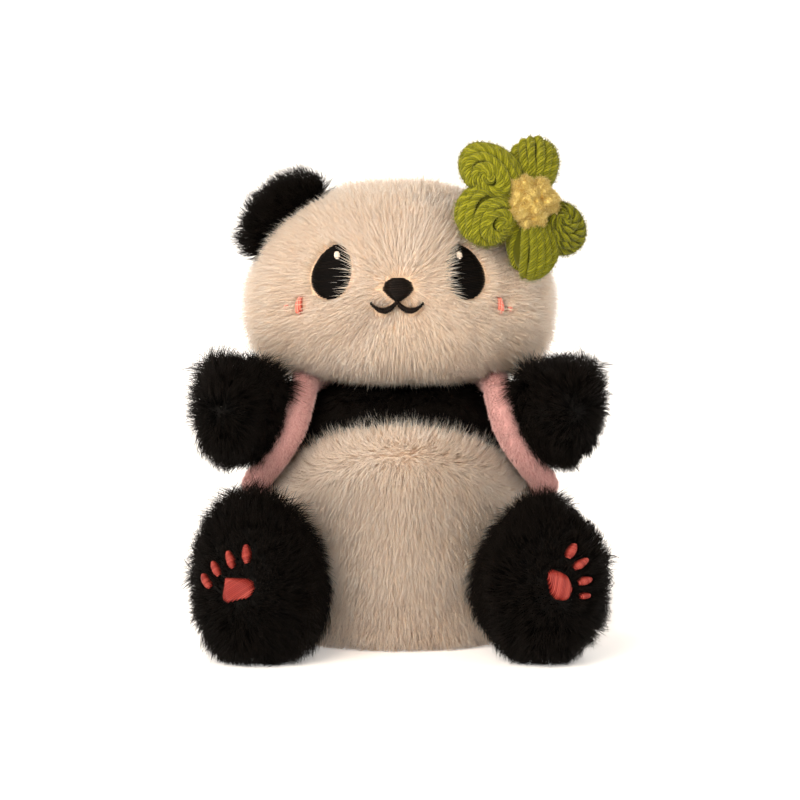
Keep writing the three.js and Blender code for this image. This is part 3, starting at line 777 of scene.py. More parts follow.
SOLE_RISE = 1.9
TOE_THREADS = 12  # degrees that a toe's threads lean past the toe itself
SOLE_OUTLINES = {}
for name, side in SIDES:
    SOLE_OUTLINES[name] = {f"{name}_main_pad": np.array(SOLE_PRINTS[name]["pad"])}
    leans = {f"{name}_main_pad": SOLE_PRINTS[name]["pad_lean"]}
    for number, (middle, half_width, half_height, degrees) in enumerate(SOLE_PRINTS[name]["toes"], 1):
        node = f"{name}_toe_pad_{number}"
        SOLE_OUTLINES[name][node] = egg_outline(middle, half_width, half_height, degrees, 0.15)
        leans[node] = degrees + TOE_THREADS
    for node, outline in SOLE_OUTLINES[name].items():
        embroider(f"stitched_{node}", outline, onto_sole(name, side), leans[node], SOLE_RISE, CORAL_THREAD,
                  f"{name}_leg", "coral_thread", node, rng)


# ------------------------------------------------------------------ pile

BLACK_RADIUS = 0.095  # of a strand at its root
WHITE_RADIUS = 0.07
MOST_TRIANGLES = 196000  # in one piece
FLOOR = 0.12  # no strand goes lower
SUNK = 0.5  # how far a root lies under the cloth's skin
LOCKS = 0.03  # the number of locks, as a share of the number of strands
LOCK_REACH = 4  # a strand farther from its lock than this stays on its own
DENSITY = 1.0


def strand_paths(points, normals, comb, length, lift, rng, wild, clump, uneven=0.16, droop=0.12):
    """Each strand's path as four points: its sunk root, two bends and its tip, drawn together in locks."""
    count = len(points)
    combed = flat_to(comb, normals)
    aside = np.cross(normals, combed)
    stray = rng.normal(0, wild, (count, 1))
    lay = combed * np.cos(stray) + aside * np.sin(stray)
    rise = np.clip(np.radians(lift)[:, None] + rng.normal(0, 0.16, (count, 1)), 0.1, 1.45)
    start = normals * np.sin(rise) + lay * np.cos(rise)
    end = unit(normals * np.sin(rise * 0.45) + lay * np.cos(rise * 0.45) - UP * droop)
    middle = unit(start + end)
    size = (length * np.clip(rng.normal(1, uneven, count), 0.5, 1.5))[:, None]
    first_bend = points + start * size * 0.36
    second_bend = first_bend + middle * size * 0.34
    path = np.stack([points - normals * SUNK, first_bend, second_bend, second_bend + end * size * 0.3], 1)
    seeds = rng.choice(count, max(1, int(count * LOCKS)), replace=False)
    tree = KDTree(len(seeds))
    for index, seed in enumerate(seeds):
        tree.insert(points[seed], index)
    tree.balance()
    nearest = seeds[[tree.find(point)[1] for point in points]]
    pull = np.array([0, 0.12, 0.6, 1.0])[None, :, None] * clump * rng.uniform(0.55, 1.0, (count, 1, 1))
    close = np.linalg.norm(points[nearest] - points, axis=1) < LOCK_REACH
    path += np.where(close[:, None, None], (path[nearest] - path) * pull, 0)
    return path, nearest


def shortened(path, rays):
    """Strands cut short where they would run into a neighbour: the paths, and which are worth keeping."""
    kept = np.ones(len(path), bool)
    for index in range(len(path)):
        start = path[index, 0] * 0.5 + path[index, 1] * 0.5
        away = path[index, 3] - start
        size = float(np.linalg.norm(away))
        hit, _, _, distance = rays.ray_cast(Vector(start), Vector(away / size), size + 0.4)
        if hit is not None:
            share = max(distance - 0.3, 0) / size
            if share < 0.3:
                kept[index] = False
            path[index] = path[index, :1] + (path[index] - path[index, :1]) * share
    return path, kept


def pile_mesh(name, path, tone, root_radius, materials, rings=3):
    """Strands as thin closed spikes with three sides, each through two or three rings and a tip."""
    count = len(path)
    tangents = unit(path[:, [1, 2, 3]] - path[:, [0, 0, 1]])
    widths = np.array([1.0, 0.9, 0.62])
    if rings == 2:
        path = np.stack([path[:, 0], path[:, 1] * 0.5 + path[:, 2] * 0.5, path[:, 3]], 1)
        tangents, widths = tangents[:, 1:], np.array([1.0, 0.75])
    across = flat_to(np.array([0.36, 0.48, 0.8])[None, None], tangents)
    other = np.cross(tangents, across)
    radii = root_radius * widths[None, :, None, None]
    turn = turns(3)
    ring = across[:, :, None] * np.cos(turn)[:, None] + other[:, :, None] * np.sin(turn)[:, None]
    corners = path[:, :rings, None] + ring * radii
    points = np.concatenate([corners.reshape(count, rings * 3, 3), path[:, rings:]], 1)
    points[:, :, 2] = np.maximum(points[:, :, 2], FLOOR)
    quads = np.array([[k * 3 + j, k * 3 + (j + 1) % 3, k * 3 + 3 + (j + 1) % 3, k * 3 + 3 + j]
                      for k in range(rings - 1) for j in range(3)])
    last = rings * 3 - 3
    tris = np.array([[last + j, last + (j + 1) % 3, last + 3] for j in range(3)] + [[0, 2, 1]])
    starts = (np.arange(count) * (rings * 3 + 1))[:, None, None]
    # Painted shade and light: each strand's root segment is a tone darker than its own tone, and its tip a
    # tone lighter.
    quad_tones = np.maximum(tone - 1, 0)[:, None].repeat(3, 1)
    if rings == 3:
        quad_tones = np.concatenate([quad_tones, tone[:, None].repeat(3, 1)], 1)
    tri_tones = np.minimum(tone + 1, len(materials) - 1)[:, None].repeat(4, 1)
    groups = [(quads[None] + starts).reshape(-1, 4), (tris[None] + starts).reshape(-1, 3)]
    indices = np.concatenate([quad_tones.ravel(), tri_tones.ravel()])
    return make_object(name, points.reshape(-1, 3), groups, materials, indices)


def make_pile(name, path, nearest, body, slot, materials, rng, shade=0.5, root_radius=WHITE_RADIUS,
              rings=3):
    """The strands as pieces that ride on a body. Half of them take their lock's tone and half a tone of their
    own, round a middle tone that the shade, a painted shade, sets from 0, the darkest, to 1."""
    lock_tone = rng.random(nearest.max() + 1)[nearest]
    spread = np.where(rng.random(len(path)) < 0.5, lock_tone, rng.random(len(path)))
    lightest = len(materials) - 2
    tone = 1 + (lightest - 1) * (np.asarray(shade) * 0.5 + spread * 0.5)
    tone = np.clip(np.rint(tone), 1, lightest).astype(int)
    parts = max(1, math.ceil(len(path) * (rings * 6 - 2) / MOST_TRIANGLES))
    order = np.argsort(path[:, 0, 0], kind="stable")
    for number, chosen in enumerate(np.array_split(order, parts), 1):
        label = f"{name}_{number}" if parts > 1 else name
        place(pile_mesh(label, path[chosen], tone[chosen], root_radius, materials, rings), body, slot)


def flat_face(points):
    """Points near the face as flat [x, z], from the head's centre."""
    return np.stack([points[..., 0], points[..., 2] - HEAD_CENTRE[2]], -1)


def flat_sole(points, side):
    """Points near a leg's sole as flat [across, up], from the leg's axis."""
    across, upper, _ = limb_axes(LEG, side)
    away = points - pivot_of(LEG, side)
    return np.stack([away @ across, away @ upper], -1)


STITCH_MARGIN = 0.3
CUTS = 5
CUT_SHARE = 0.78  # what one cut leaves of a strand


def lies_over(outline, flatten, path):
    """Which strands lie over an outline with a bend, their tip, or a place between."""
    found = np.zeros(len(path), bool)
    for index, share in ((1, 0), (1, 0.5), (2, 0.35), (2, 0.7), (2, 1)):
        found |= inside(outline, flatten(path[:, index] * (1 - share) + path[:, index + 1] * share))
    return found


def off_stitches(path, flatten, outlines, front, overlap):
    """Keeps strands off the embroidery: none grow in it, and those that lie over it are cut back.
    overlap(name, path) says which strands may lie over a piece."""
    kept = np.ones(len(path), bool)
    for name, outline in outlines.items():
        grown = outline + unit(outline - outline.mean(0)) * STITCH_MARGIN
        kept &= ~(inside(grown, flatten(path[:, 0] * 0.5 + path[:, 1] * 0.5)) & front)
        allowed = overlap(name, path)
        for _ in range(CUTS):
            over = front & kept & ~allowed & lies_over(grown, flatten, path)
            path[over] = path[over, :1] + (path[over] - path[over, :1]) * CUT_SHARE
        kept[front & kept & ~allowed & lies_over(grown, flatten, path)] = False
    return path, kept


def nearness(flat, outlines):
    """Distance in millimetres from each flat point to the nearest outline corner."""
    corners = np.concatenate([np.asarray(outline) for outline in outlines])
    return np.sqrt(((flat[:, None] - corners[None]) ** 2).sum(-1)).min(1)


NOSE_BRIDGE = np.array([0.0, -48.0, 101.5])


def head_comb(points):
    """Away from the bridge of the nose, and down the back of the head."""
    away = unit(points - NOSE_BRIDGE)
    down = smoothstep(2, 24, points[:, 1])[:, None]
    return away * (1 - down) - UP * down * 1.4


def rim_share(points):
    """1 at the arch, where the belly's fur rises over the band, and 0 well below it."""
    return smoothstep(12, 1, arch_value(points))


def belly_comb(points):
    """Up and outward along the arch, turning aside and then down over the belly, without a parting."""
    rng = np.random.default_rng(3)
    turn = math.pi * np.clip(1 - rim_share(points) + rng.normal(0, 0.1, len(points)), 0, 1)[:, None]
    to_left = rng.random(len(points)) < smoothstep(-12, 12, points[:, 0])
    aside = np.where(to_left, 1.0, -1.0)[:, None] * np.array([1.0, 0, 0])
    falling = unit(points * np.array([1, 0.4, 0]) + np.array([1e-6, 0, 0])) * 0.3 - UP
    rising = arch_outward(points) + UP * 0.15
    upright = rising * np.maximum(np.cos(turn), 0) + falling * np.maximum(-np.cos(turn), 0)
    return upright + aside * np.sin(turn) * 0.6


def hem_share(points):
    """1 along the belly's lower edge and 0 well above it."""
    return smoothstep(13, 4, points[:, 2])


def band_comb(points):
    """Down and outward, and up into the band all along the arch."""
    near_arch = (smoothstep(-9, -2, arch_value(points)) * (points[:, 1] < 0))[:, None]
    outward = unit(points * np.array([1, 1, 0]) + 1e-6)
    down = outward * 0.7 - UP
    return down * (1 - near_arch) + (arch_outward(points) * 0.8 + UP * 0.4) * near_arch


def fall_comb(points):
    """Down, and a little outward."""
    return unit(points * np.array([1, 1, 0]) + 1e-6) * 0.5 - UP


def limb_comb(limb, side, sole_from):
    """Towards the paw and down, and outward all round on the sole."""
    _, _, along = limb_axes(limb, side)

    def comb(points):
        away = points - pivot_of(limb, side)
        forward = away @ along
        radial = unit(away - forward[:, None] * along)
        front = smoothstep(sole_from - 6, sole_from, forward)[:, None]
        return radial * front + (along * 0.35 - UP * 0.45 + radial * 0.2) * (1 - front)

    return comb


def ear_comb(side):
    """Outward, and spread along the head at the ear's two ends."""
    along, _, outward = ear_axes(side)

    def comb(points):
        share = ((points - ear_root(side)) @ along) / EAR_REACH
        return outward + along * (share * np.abs(share) * 0.9)[:, None]

    return comb


# Panel: (strands to the square millimetre, length, degrees of lift, radians that strands stray from the comb,
# share that they are drawn together in locks, unevenness of their lengths, comb).
PILES = {
    "face_panel": (12.8, 6.8, 28, 0.15, 0.03, 0.11, head_comb),
    "head_back_panel": (6.1, 8.0, 40, 0.28, 0.22, 0.18, head_comb),
    "belly_panel": (13.0, 7.4, 26, 0.18, 0.0, 0.12, belly_comb),
    "back_panel": (4.3, 7.6, 38, 0.28, 0.24, 0.18, fall_comb),
    "seat_panel": (1.0, 3.0, 12, 0.60, 0.20, 0.16, fall_comb),
    "chest_band": (4.6, 6.4, 40, 0.34, 0.45, 0.24, band_comb),
}
for name, side in SIDES:
    PILES[f"{name}_arm_skin"] = (6.2, 6.4, 50, 0.50, 0.5, 0.26, limb_comb(ARM, side, 27))
    PILES[f"{name}_leg_skin"] = (5.7, 6.4, 50, 0.50, 0.5, 0.26, limb_comb(LEG, side, 30))
    PILES[f"{name}_ear_front"] = (9.0, 5.3, 46, 0.40, 0.5, 0.28, ear_comb(side))
    PILES[f"{name}_ear_back"] = (8.0, 5.3, 46, 0.40, 0.5, 0.28, ear_comb(side))


def side_of(name):
    """-1 for a piece on the toy's right, or 1."""
    return -1 if name.startswith("right") else 1


def length_changes(name, points, normals):
    """Where a panel's pile is longer or shorter than usual: (share added, where, from 0 to 1)."""
    side = side_of(name)
    outward, upward = side * normals[:, 0], normals[:, 2]
    if name == "face_panel":
        x, z = flat_face(points).T
        outlines = [FACE_OUTLINES["left_eye"], FACE_OUTLINES["right_eye"]]
        eyes = smoothstep(7, 0.5, nearness(flat_face(points), outlines))
        yield -0.5, smoothstep(17, 5, np.hypot(x, (z - 2) * 1.1))  # the muzzle
        yield -0.28, eyes * ((np.abs(x) >= 13) | (z <= 4))  # round the eyes, but for what flows over them
        yield 0.3, smoothstep(-6, -17, z)  # the chin
    if name in ("face_panel", "head_back_panel"):
        x, z = flat_face(points).T
        yield 0.45, smoothstep(0, -12, z) * smoothstep(16, 32, np.abs(x))  # the cheeks
        yield 0.25, smoothstep(12, 2, np.abs(z - 2)) * smoothstep(26, 34, np.abs(x))  # the head's two sides
    if name == "belly_panel":
        yield -0.3, smoothstep(5, 1, arch_value(points))
        yield 0.5, hem_share(points)
    if name == "chest_band":
        yield -0.35, (points[:, 1] < 0) * smoothstep(-8, -1, arch_value(points))  # along the arch
    if name.endswith("arm_skin"):
        inner = smoothstep(0.1, 0.7, -outward)
        yield 0.8 if side < 0 else 0.45, smoothstep(0.3, 0.9, upward) * smoothstep(0.1, 0.6, outward)
        yield -0.5, inner * smoothstep(0.45, 0.0, upward)
        yield 0.45, inner * smoothstep(0.1, 0.6, upward)
        if side > 0:
            yield -0.3, smoothstep(0.2, 0.7, outward) * smoothstep(0.3, -0.1, upward)
    if name.endswith("leg_skin"):
        outer = smoothstep(0.2, 0.6, outward)
        if side < 0:
            yield 0.45, smoothstep(0.4, 0.95, upward)
            yield 0.5, smoothstep(0.1, 0.6, -outward) * smoothstep(0.0, -0.5, upward)
        else:
            yield 0.15, smoothstep(0.6, 0.95, upward) * (1 - outer)
            yield -0.45, outer * smoothstep(0.25, 0.55, np.abs(upward))
        forward = (points - pivot_of(LEG, side)) @ limb_axes(LEG, side)[2]
        distance = nearness(flat_sole(points, side), SOLE_OUTLINES[name.split("_")[0]].values())
        yield -0.5, smoothstep(27, 32, forward) * smoothstep(9, 1, distance)


def pile_lengths(name, points, normals, length):
    """How long each strand of a panel's pile is."""
    size = np.full(len(points), length)
    for added, where in length_changes(name, points, normals):
        size *= 1 + added * where
    return size


def face_overlap(name, path):
    """Which strands may lie over a piece of face embroidery: those that flow over the eyes' inner edges,
    most of those over the highlights, and some over the cheeks' stitches. More do on the left side."""
    chance = np.random.default_rng(len(name)).random(len(path))
    on_right = side_of(name) < 0
    if name.endswith("_eye"):
        inner = path[:, 0, 0] * side_of(name) < 14.5
        higher = smoothstep(HEAD_CENTRE[2] + 1, HEAD_CENTRE[2] + 12, path[:, 0, 2])
        return inner & (chance < (0.06 + 0.2 * higher if on_right else 0.4 + 0.5 * higher))
    if name.endswith("_highlight"):
        return chance < (0.7 if on_right else 0.9)
    if name.endswith("_inner"):
        return chance < (0.08 if on_right else 0.4)
    return chance < (0.9 if name.endswith("_outer") else 0)


def painted_white_shade(name, points):
    """How light the white pile is, from 0 to 1, as painted shade: darker low down, on the face towards the
    chin, and on the torso under the head.
    """
    if name in ("face_panel", "head_back_panel"):
        return 0.55 + 0.45 * smoothstep(-16, 4, points[:, 2] - HEAD_CENTRE[2])
    return smoothstep(2, 24, points[:, 2]) * (1 - 0.45 * smoothstep(40, 54, points[:, 2]))


LIFT_WAVES = np.array([[0.21, 0.13, 0.17], [-0.15, 0.2, 0.24]]).T  # radians to the millimetre
NEIGHBOUR_GAP = 1.1  # no strand has its root nearer to a neighbouring body


def pile_roots(name, density, rays, rng):
    """Random places on a panel, with normals, but for those that face the ground or touch a neighbour."""
    points, normals = panels[name].sample(density * DENSITY, rng)
    if name != "seat_panel":
        open_air = (normals[:, 2] >= -0.93) | (points[:, 2] >= 1.5)
        points, normals = points[open_air], normals[open_air]
    open_air = np.array([rays.find_nearest(Vector(point), NEIGHBOUR_GAP)[0] is None for point in points])
    return points[open_air], normals[open_air]


def off_embroidery(name, path):
    """A face's or a leg's strands, kept off its stitches: the paths, and which are worth keeping."""
    if name == "face_panel":
        return off_stitches(path, flat_face, FACE_OUTLINES, path[:, 0, 1] < -12, face_overlap)
    side = side_of(name)
    front = (path[:, 0] - pivot_of(LEG, side)) @ limb_axes(LEG, side)[2] > 24
    outlines = SOLE_OUTLINES[name.split("_")[0]]
    return off_stitches(path, lambda points: flat_sole(points, side), outlines, front,
                        lambda _, strands: np.zeros(len(strands), bool))


def grow_piles():
    """The plush of every panel, one strand at a time."""
    for number, (name, (density, length, lift, wild, clump, uneven, comb)) in enumerate(PILES.items()):
        rng = np.random.default_rng(100 + number)
        own = BODY_OF_PANEL[name]
        rays = joined_rays([skin for label, skin in skins.items() if label != own])
        points, normals = pile_roots(name, density, rays, rng)
        size = pile_lengths(name, points, normals, length)
        wander = 4 if name in ("face_panel", "belly_panel") else 9
        lifts = lift + wander * np.sin(points @ LIFT_WAVES).prod(1)
        if name == "face_panel":
            lifts -= 12 * smoothstep(16, 4, np.hypot(*flat_face(points).T))
        if name == "belly_panel":  # spiky at the arch and the hem, and on end where the fur turns over
            rim, hem = rim_share(points), hem_share(points)
            fringe = smoothstep(0.75, 1, rim)
            turning = 4 * rim * (1 - rim)
            size *= 1 - 0.3 * turning
            lifts += 38 * turning + 14 * hem
            wild = wild + 0.1 * turning[:, None]
            clump = (clump + 0.35 * fringe + 0.3 * hem)[:, None, None]
            uneven = uneven + 0.18 * fringe + 0.14 * hem
        if name in ("face_panel", "head_back_panel"):  # fuller along the head's two sides
            lifts += 18 * smoothstep(24, 34, np.abs(points[:, 0]))
        path, nearest = strand_paths(points, normals, comb(points), size, lifts, rng, wild, clump, uneven)
        path, kept = shortened(path, rays)
        if name == "face_panel" or name.endswith("leg_skin"):
            path, clear = off_embroidery(name, path)
            kept &= clear
        rings = 3 if name in ("face_panel", "left_ear_front", "right_ear_front") else 2
        if is_black(name):
            look = ("black_plush", BLACK_PILE, rng, 0.5, BLACK_RADIUS, rings)
        else:
            look = ("white_plush", WHITE_PILE, rng, painted_white_shade(name, path[kept, 0]), WHITE_RADIUS, rings)
        make_pile(f"pile_{name}", path[kept], nearest[kept], own, *look)


grow_piles()


# ------------------------------------------------------------------ straps and pouch

NAP_LENGTH = 1.45
NAP_RADIUS = 0.075
NAP_LIFT = 60.0
PIPING_RADIUS = 0.95
STRAP_PLUMPNESS = 1.15  # how far soft wadding lifts the velvet past the strap's CAD skin


def nap(name, surface, density, rng):
    """The short dense nap of velvet cloth."""
    points, normals = surface.sample(density * DENSITY, rng)
    size = np.full(len(points), NAP_LENGTH)
    comb = np.broadcast_to(-UP, points.shape)
    lifts = np.full(len(points), NAP_LIFT)
    path, nearest = strand_paths(points, normals, comb, size, lifts, rng, 0.8, 0.12, droop=0.05)
    make_pile(name, path, nearest, "torso", "pink_velvet", PINK_NAP, rng, root_radius=NAP_RADIUS, rings=2)


rng = np.random.default_rng(31)
for name, _ in SIDES:
    strap = skins[f"{name}_strap"]
    strap = Surface(strap.points + strap.normals * STRAP_PLUMPNESS, strap.triangles)
    soft_piece(f"padded_{name}_strap", strap.points, [strap.triangles], PINK_CLOTH, "torso", "pink_velvet",
               f"{name}_strap")
    nap(f"nap_{name}_strap", strap, 7.0, rng)
pouch = skins["pouch"]
soft_piece("padded_pouch", pouch.points, [pouch.triangles], PINK_CLOTH, "torso", "pink_velvet", "pouch")
nap("nap_pouch", pouch, 4.0, rng)


def pouch_piping():
    """A corded edge that runs round the pouch, where it is widest as seen from behind."""
    seam = []
    for turn in turns(120):
        away = np.array([math.cos(turn), 0, math.sin(turn)])
        seam.append(pouch.pierce(POUCH_CENTRE + away * 60, -away)[0] + away * 0.25)
    piping = Batch()
    piping.add(*tube(np.array(seam + seam[:2]), PIPING_RADIUS, 10, np.array([0.0, 1.0, 0.0])))
    place(piping.make("pouch_piping", [PINK_CLOTH]), "torso", "pink_velvet")


pouch_piping()


# ------------------------------------------------------------------ flower

FACES = unit(np.array(FLOWER["faces"]))
RIGHT = unit(np.cross(UP, FACES))
FLOWER_AXES = np.stack([RIGHT, np.cross(FACES, RIGHT), FACES])
YARN_RADIUS = 1.22  # of the whole yarn
PLIES = 6
PLY_RADIUS = 0.33
TWIST = 5.2  # millimetres of yarn to one turn of its plies
YARN_STEP = 0.26  # between the bends of one ply
YARN_PITCH = 2.2  # between cords that lie side by side
GREEN_SHADES = (1, 3, 2)  # the plies' tones of the yarn, in turn
PLY_SIDES = 5
FUZZ_FIBRES = 1500  # to a petal
FUZZ_LENGTH = 1.2
FUZZ_LIFT = 40.0
FUZZ_RADIUS = 0.035
WOOL_DENSITY = 22
WOOL_LENGTH = 1.5
WOOL_LIFT = 22.0
WOOL_RADIUS = 0.05
WOOL_SPREAD = 1.1  # how far the wool stands out past its CAD middle


def in_flower(points):
    """Points from the flower's own frame in the toy's."""
    return np.array(FLOWER["centre"]) + points @ FLOWER_AXES


def distances_along(path):
    """How far along a path each of its points is."""
    return np.concatenate([[0], np.cumsum(np.linalg.norm(np.diff(path, axis=0), axis=1))])


def resampled(path, step):
    """The path with a point at every step, and how far along it each of those is."""
    size = distances_along(path)
    along = np.linspace(0, size[-1], max(4, int(size[-1] / step)))
    return np.stack([np.interp(along, size, path[:, k]) for k in range(3)], 1), along


def add_yarn(batch, path, middle, rng, thickness, shades):
    """A plied yarn along a path in the flower's frame: plies that wind round each other."""
    path, along = resampled(path, YARN_STEP)
    smooth = path.copy()
    for _ in range(2):
        smooth[1:-1] = (smooth[:-2] + 2 * smooth[1:-1] + smooth[2:]) / 4
    tangent = unit(np.gradient(smooth, axis=0))
    across = flat_to(smooth - middle, tangent)
    other = np.cross(tangent, across)
    start = rng.random() * 2 * math.pi
    swell = thickness * (1 + 0.06 * np.sin(along * 0.9 + start))
    shades = rng.permutation(shades)
    for ply in range(PLIES):
        angle = start + 2 * math.pi * (along / TWIST + ply / PLIES)
        away = across * np.cos(angle)[:, None] + other * np.sin(angle)[:, None]
        centre = smooth + away * ((YARN_RADIUS - PLY_RADIUS) * swell)[:, None]
        radii = PLY_RADIUS * swell * (1 + rng.normal(0, 0.03, len(along)))
        points, quads, fans = tube(in_flower(centre), radii, PLY_SIDES, away @ FLOWER_AXES)
        batch.add(points, quads, fans, tone=shades[ply % len(shades)])
    return smooth


def yarn_fuzz(name, points, normals, rng):
    """Loose fibres that stand off a petal's yarn."""
    count = int(FUZZ_FIBRES * DENSITY)
    picked = rng.choice(len(points), count)
    roots = points[picked] + rng.normal(0, 0.25, (count, 3))
    comb = rng.normal(0, 1, (count, 3))
    size, lifts = np.full(count, FUZZ_LENGTH), np.full(count, FUZZ_LIFT)
    path, nearest = strand_paths(roots, normals[picked], comb, size, lifts, rng, 1.2, 0.0, droop=0.0)
    make_pile(name, path, nearest, "flower", "green_yarn", GREEN_YARN, rng, root_radius=FUZZ_RADIUS)


def ellipsoid(centre, sizes, rows=18, columns=28):
    """A closed ellipsoid: points, four-sided faces and its end fans."""
    level = np.linspace(-math.pi / 2, math.pi / 2, rows + 2)[1:-1]
    turn = turns(columns)
    ring = np.stack([np.cos(turn), np.sin(turn), np.zeros(columns)], 1)
    points = np.cos(level)[:, None, None] * ring[None] + np.sin(level)[:, None, None] * UP[None, None]
    points = np.concatenate([points.reshape(-1, 3), [-UP], [UP]])
    return centre + points * sizes, *tube_faces(rows, columns)


def petal_limits(index):
    """The angles from a petal's middle to its borders, clockwise and anticlockwise."""
    own = PETALS[index][0]
    others = [(angle - own) % 360 for angle, _, _ in PETALS if angle != own]
    return math.radians(360 - max(others)) / 2, math.radians(min(others)) / 2


# How the yarn lies on each petal: wound in rings round a pole on its front, or gathered at both its ends.
# A pole is (degrees from the petal's own direction, degrees from straight ahead). A gathered petal may bend
# its cords to one side, and may lack one, which leaves a dark slit. A petal may lie a little off its place.
PETAL_YARNS = [
    {"pole": (74, 33), "lift": 1.4, "nudge": (-0.4, 0.0), "shades": GREEN_SHADES},
    {"bend": 0.05, "slit": None, "lift": 0.5, "nudge": (0.3, -0.2), "shades": GREEN_SHADES},
    # Painted shade: the third and fourth petals, at the lower right and the bottom, take darker tones, where
    # less light falls.
    {"pole": (120, 14), "lift": -0.4, "nudge": (-1.7, 0.0), "shades": (0, 2, 1)},
    {"bend": 0.14, "slit": 7, "lift": 0.1, "nudge": (-1.5, 0.0), "shades": (1, 2, 1)},
    {"pole": (112, 36), "lift": 0.2, "nudge": (-1.2, 0.2), "shades": GREEN_SHADES},
]
GATHER_PITCH = 1.6
CORD_INSET = 0.75  # how far in from the petal's outline its cords' middles lie
BORDER_PRESS = 1.7  # how far a petal may press over its border with the next
GATHER_TILT = math.radians(58)  # how far behind its end a petal's cords meet
GATHER_SPAN = 172  # degrees that the cords cover on either side of a petal's front
WOUND_REACH = math.radians(165)  # from the pole to the last ring
RING_START = -0.16  # a ring of cord laps over its own start, and both its ends are tucked in
RING_END = RING_START + 2 * math.pi * 1.05


def wound_cords(pole, sizes, rng):
    """Rings of cord round a pole on a petal's front, as points on an ellipsoid."""
    turn, tilt = (math.radians(degrees) for degrees in pole)
    step = YARN_PITCH / sizes[:2].mean()
    cords = []
    straight = np.array([math.cos(turn) * math.sin(tilt), math.sin(turn) * math.sin(tilt), math.cos(tilt)])
    for ring in range(int(WOUND_REACH / step)):
        lean = rng.normal(0, 0.09, 2) * min(ring, 2) / 2
        axis = unit(straight + np.array([*lean, 0]))
        first = flat_to(np.array([math.cos(turn), math.sin(turn), 0.2]), axis)
        second = np.cross(axis, first)
        reach = (ring + 0.55) * step
        angle = np.linspace(RING_START, RING_END, 40 + 24 * ring)
        ends = smoothstep(0.3, RING_START, angle) + smoothstep(RING_START + 2 * math.pi, RING_END, angle)
        wave = reach * (1 + 0.035 * np.sin(3 * angle + rng.random() * 6))
        around = first * np.cos(angle)[:, None] + second * np.sin(angle)[:, None]
        path = axis * np.cos(wave)[:, None] + around * np.sin(wave)[:, None]
        cords.append(path * (1 - 0.2 * ends)[:, None] * sizes)
    return cords


def gathered_cords(bend, slit, sizes, rng):
    """Cords from a petal's root, over its front and round its end, as points on an ellipsoid."""
    ends = np.array([[-1, 0, 0], [math.cos(GATHER_TILT), 0, -math.sin(GATHER_TILT)]])
    middle = ends.mean(0)
    half = np.linalg.norm(ends[1] - middle)
    chord = (ends[1] - middle) / half
    rise = unit(-middle)
    depth = np.linalg.norm(middle)
    fine = np.radians(np.linspace(-GATHER_SPAN, GATHER_SPAN, 600))
    length = distances_along(np.stack([sizes[1] * np.sin(fine), sizes[2] * np.cos(fine)], 1))
    count = round(length[-1] / GATHER_PITCH)
    cords = []
    for cord, azimuth in enumerate(np.interp(np.linspace(0, length[-1], count + 1), length, fine)):
        if cord == slit:
            continue
        azimuth += rng.normal(0, 0.04)
        away = rise * math.cos(azimuth) + np.array([0, 1, 0]) * math.sin(azimuth)
        radius = math.sqrt(max(1 - (depth * math.sin(azimuth)) ** 2, 0.05))
        end = math.atan2(half, -depth * math.cos(azimuth))
        angle = np.linspace(-end, end, 70)
        centre = middle + away * depth * math.cos(azimuth)
        path = centre + radius * (away * np.cos(angle)[:, None] + chord * np.sin(angle)[:, None])
        path[:, 1] += bend * (1 - path[:, 0] ** 2)
        cords.append(path * sizes)
    return cords


def build_petal(index):
    """One puff petal: its cords, the core under them and its loose fibres."""
    rng = np.random.default_rng(50 + index)
    degrees, reach, radius = PETALS[index]
    yarn = PETAL_YARNS[index]
    direction = math.radians(degrees)
    out = np.array([math.cos(direction), math.sin(direction), 0.0])
    side = np.array([-math.sin(direction), math.cos(direction), 0.0])
    half = (reach + radius - PETAL_ROOT) / 2
    sizes = np.array([half - CORD_INSET, radius - CORD_INSET, PETAL_HALF_DEPTH + 0.1])
    limits = [math.tan(min(limit, 1.3)) for limit in petal_limits(index)]
    if "pole" in yarn:
        shapes = wound_cords(yarn["pole"], sizes, rng)
    else:
        shapes = gathered_cords(yarn["bend"], yarn["slit"], sizes, rng)
    batch = Batch()
    centres = []
    nudge = np.array([*yarn["nudge"], yarn["lift"] + 0.4])
    middle = out * (PETAL_ROOT + half) + nudge

    def within(shape):
        distance = PETAL_ROOT + half + shape[:, 0]
        y = np.clip(shape[:, 1], -distance * limits[0] - BORDER_PRESS, distance * limits[1] + BORDER_PRESS)
        return out * distance[:, None] + side * y[:, None] + UP * shape[:, 2:] + nudge

    for shape in shapes:
        path = within(shape) + rng.normal(0, 0.08, 3)
        centres.append(add_yarn(batch, path, middle, rng, 0.97 + 0.08 * rng.random(), yarn["shades"]))
    # The core under the cords takes the darkest tone, as painted shade in the gaps between cords.
    core, quads, fans = ellipsoid(np.zeros(3), sizes * 0.93)
    batch.add(in_flower(within(core)), quads, fans, tone=0)
    number = index + 1
    place(batch.make(f"yarn_petal_{number}", GREEN_YARN), "flower", "green_yarn", f"flower_petal_{number}")
    centres = np.concatenate(centres)
    away = unit(centres - middle)
    front = away[:, 2] > -0.3
    outside = in_flower(centres + away * YARN_RADIUS * 0.9)
    yarn_fuzz(f"fuzz_petal_{number}", outside[front], (away @ FLOWER_AXES)[front], rng)


for index in range(len(PETALS)):
    build_petal(index)


def crumpled(directions):
    """How far wool stands out in each direction, as a share: lobes with sharp creases between them."""
    value = np.zeros(len(directions))
    waves = ((2.9, 0.6, 1.4, 0.4), (-1.5, 3.1, 0.9, 2.1), (1.6, -2.4, 2.9, 4.3), (4.6, 2.9, -1.9, 1.2),
             (-3.6, 5.0, 2.6, 5.0), (5.7, -4.0, 4.3, 0.3), (-6.1, -5.2, 3.0, 2.8))
    for *wave, phase in waves:
        folds = np.abs(np.sin(directions @ np.array(wave) * 1.5 + phase)) - 0.6
        value += folds / np.linalg.norm(wave) ** 0.8
    return value


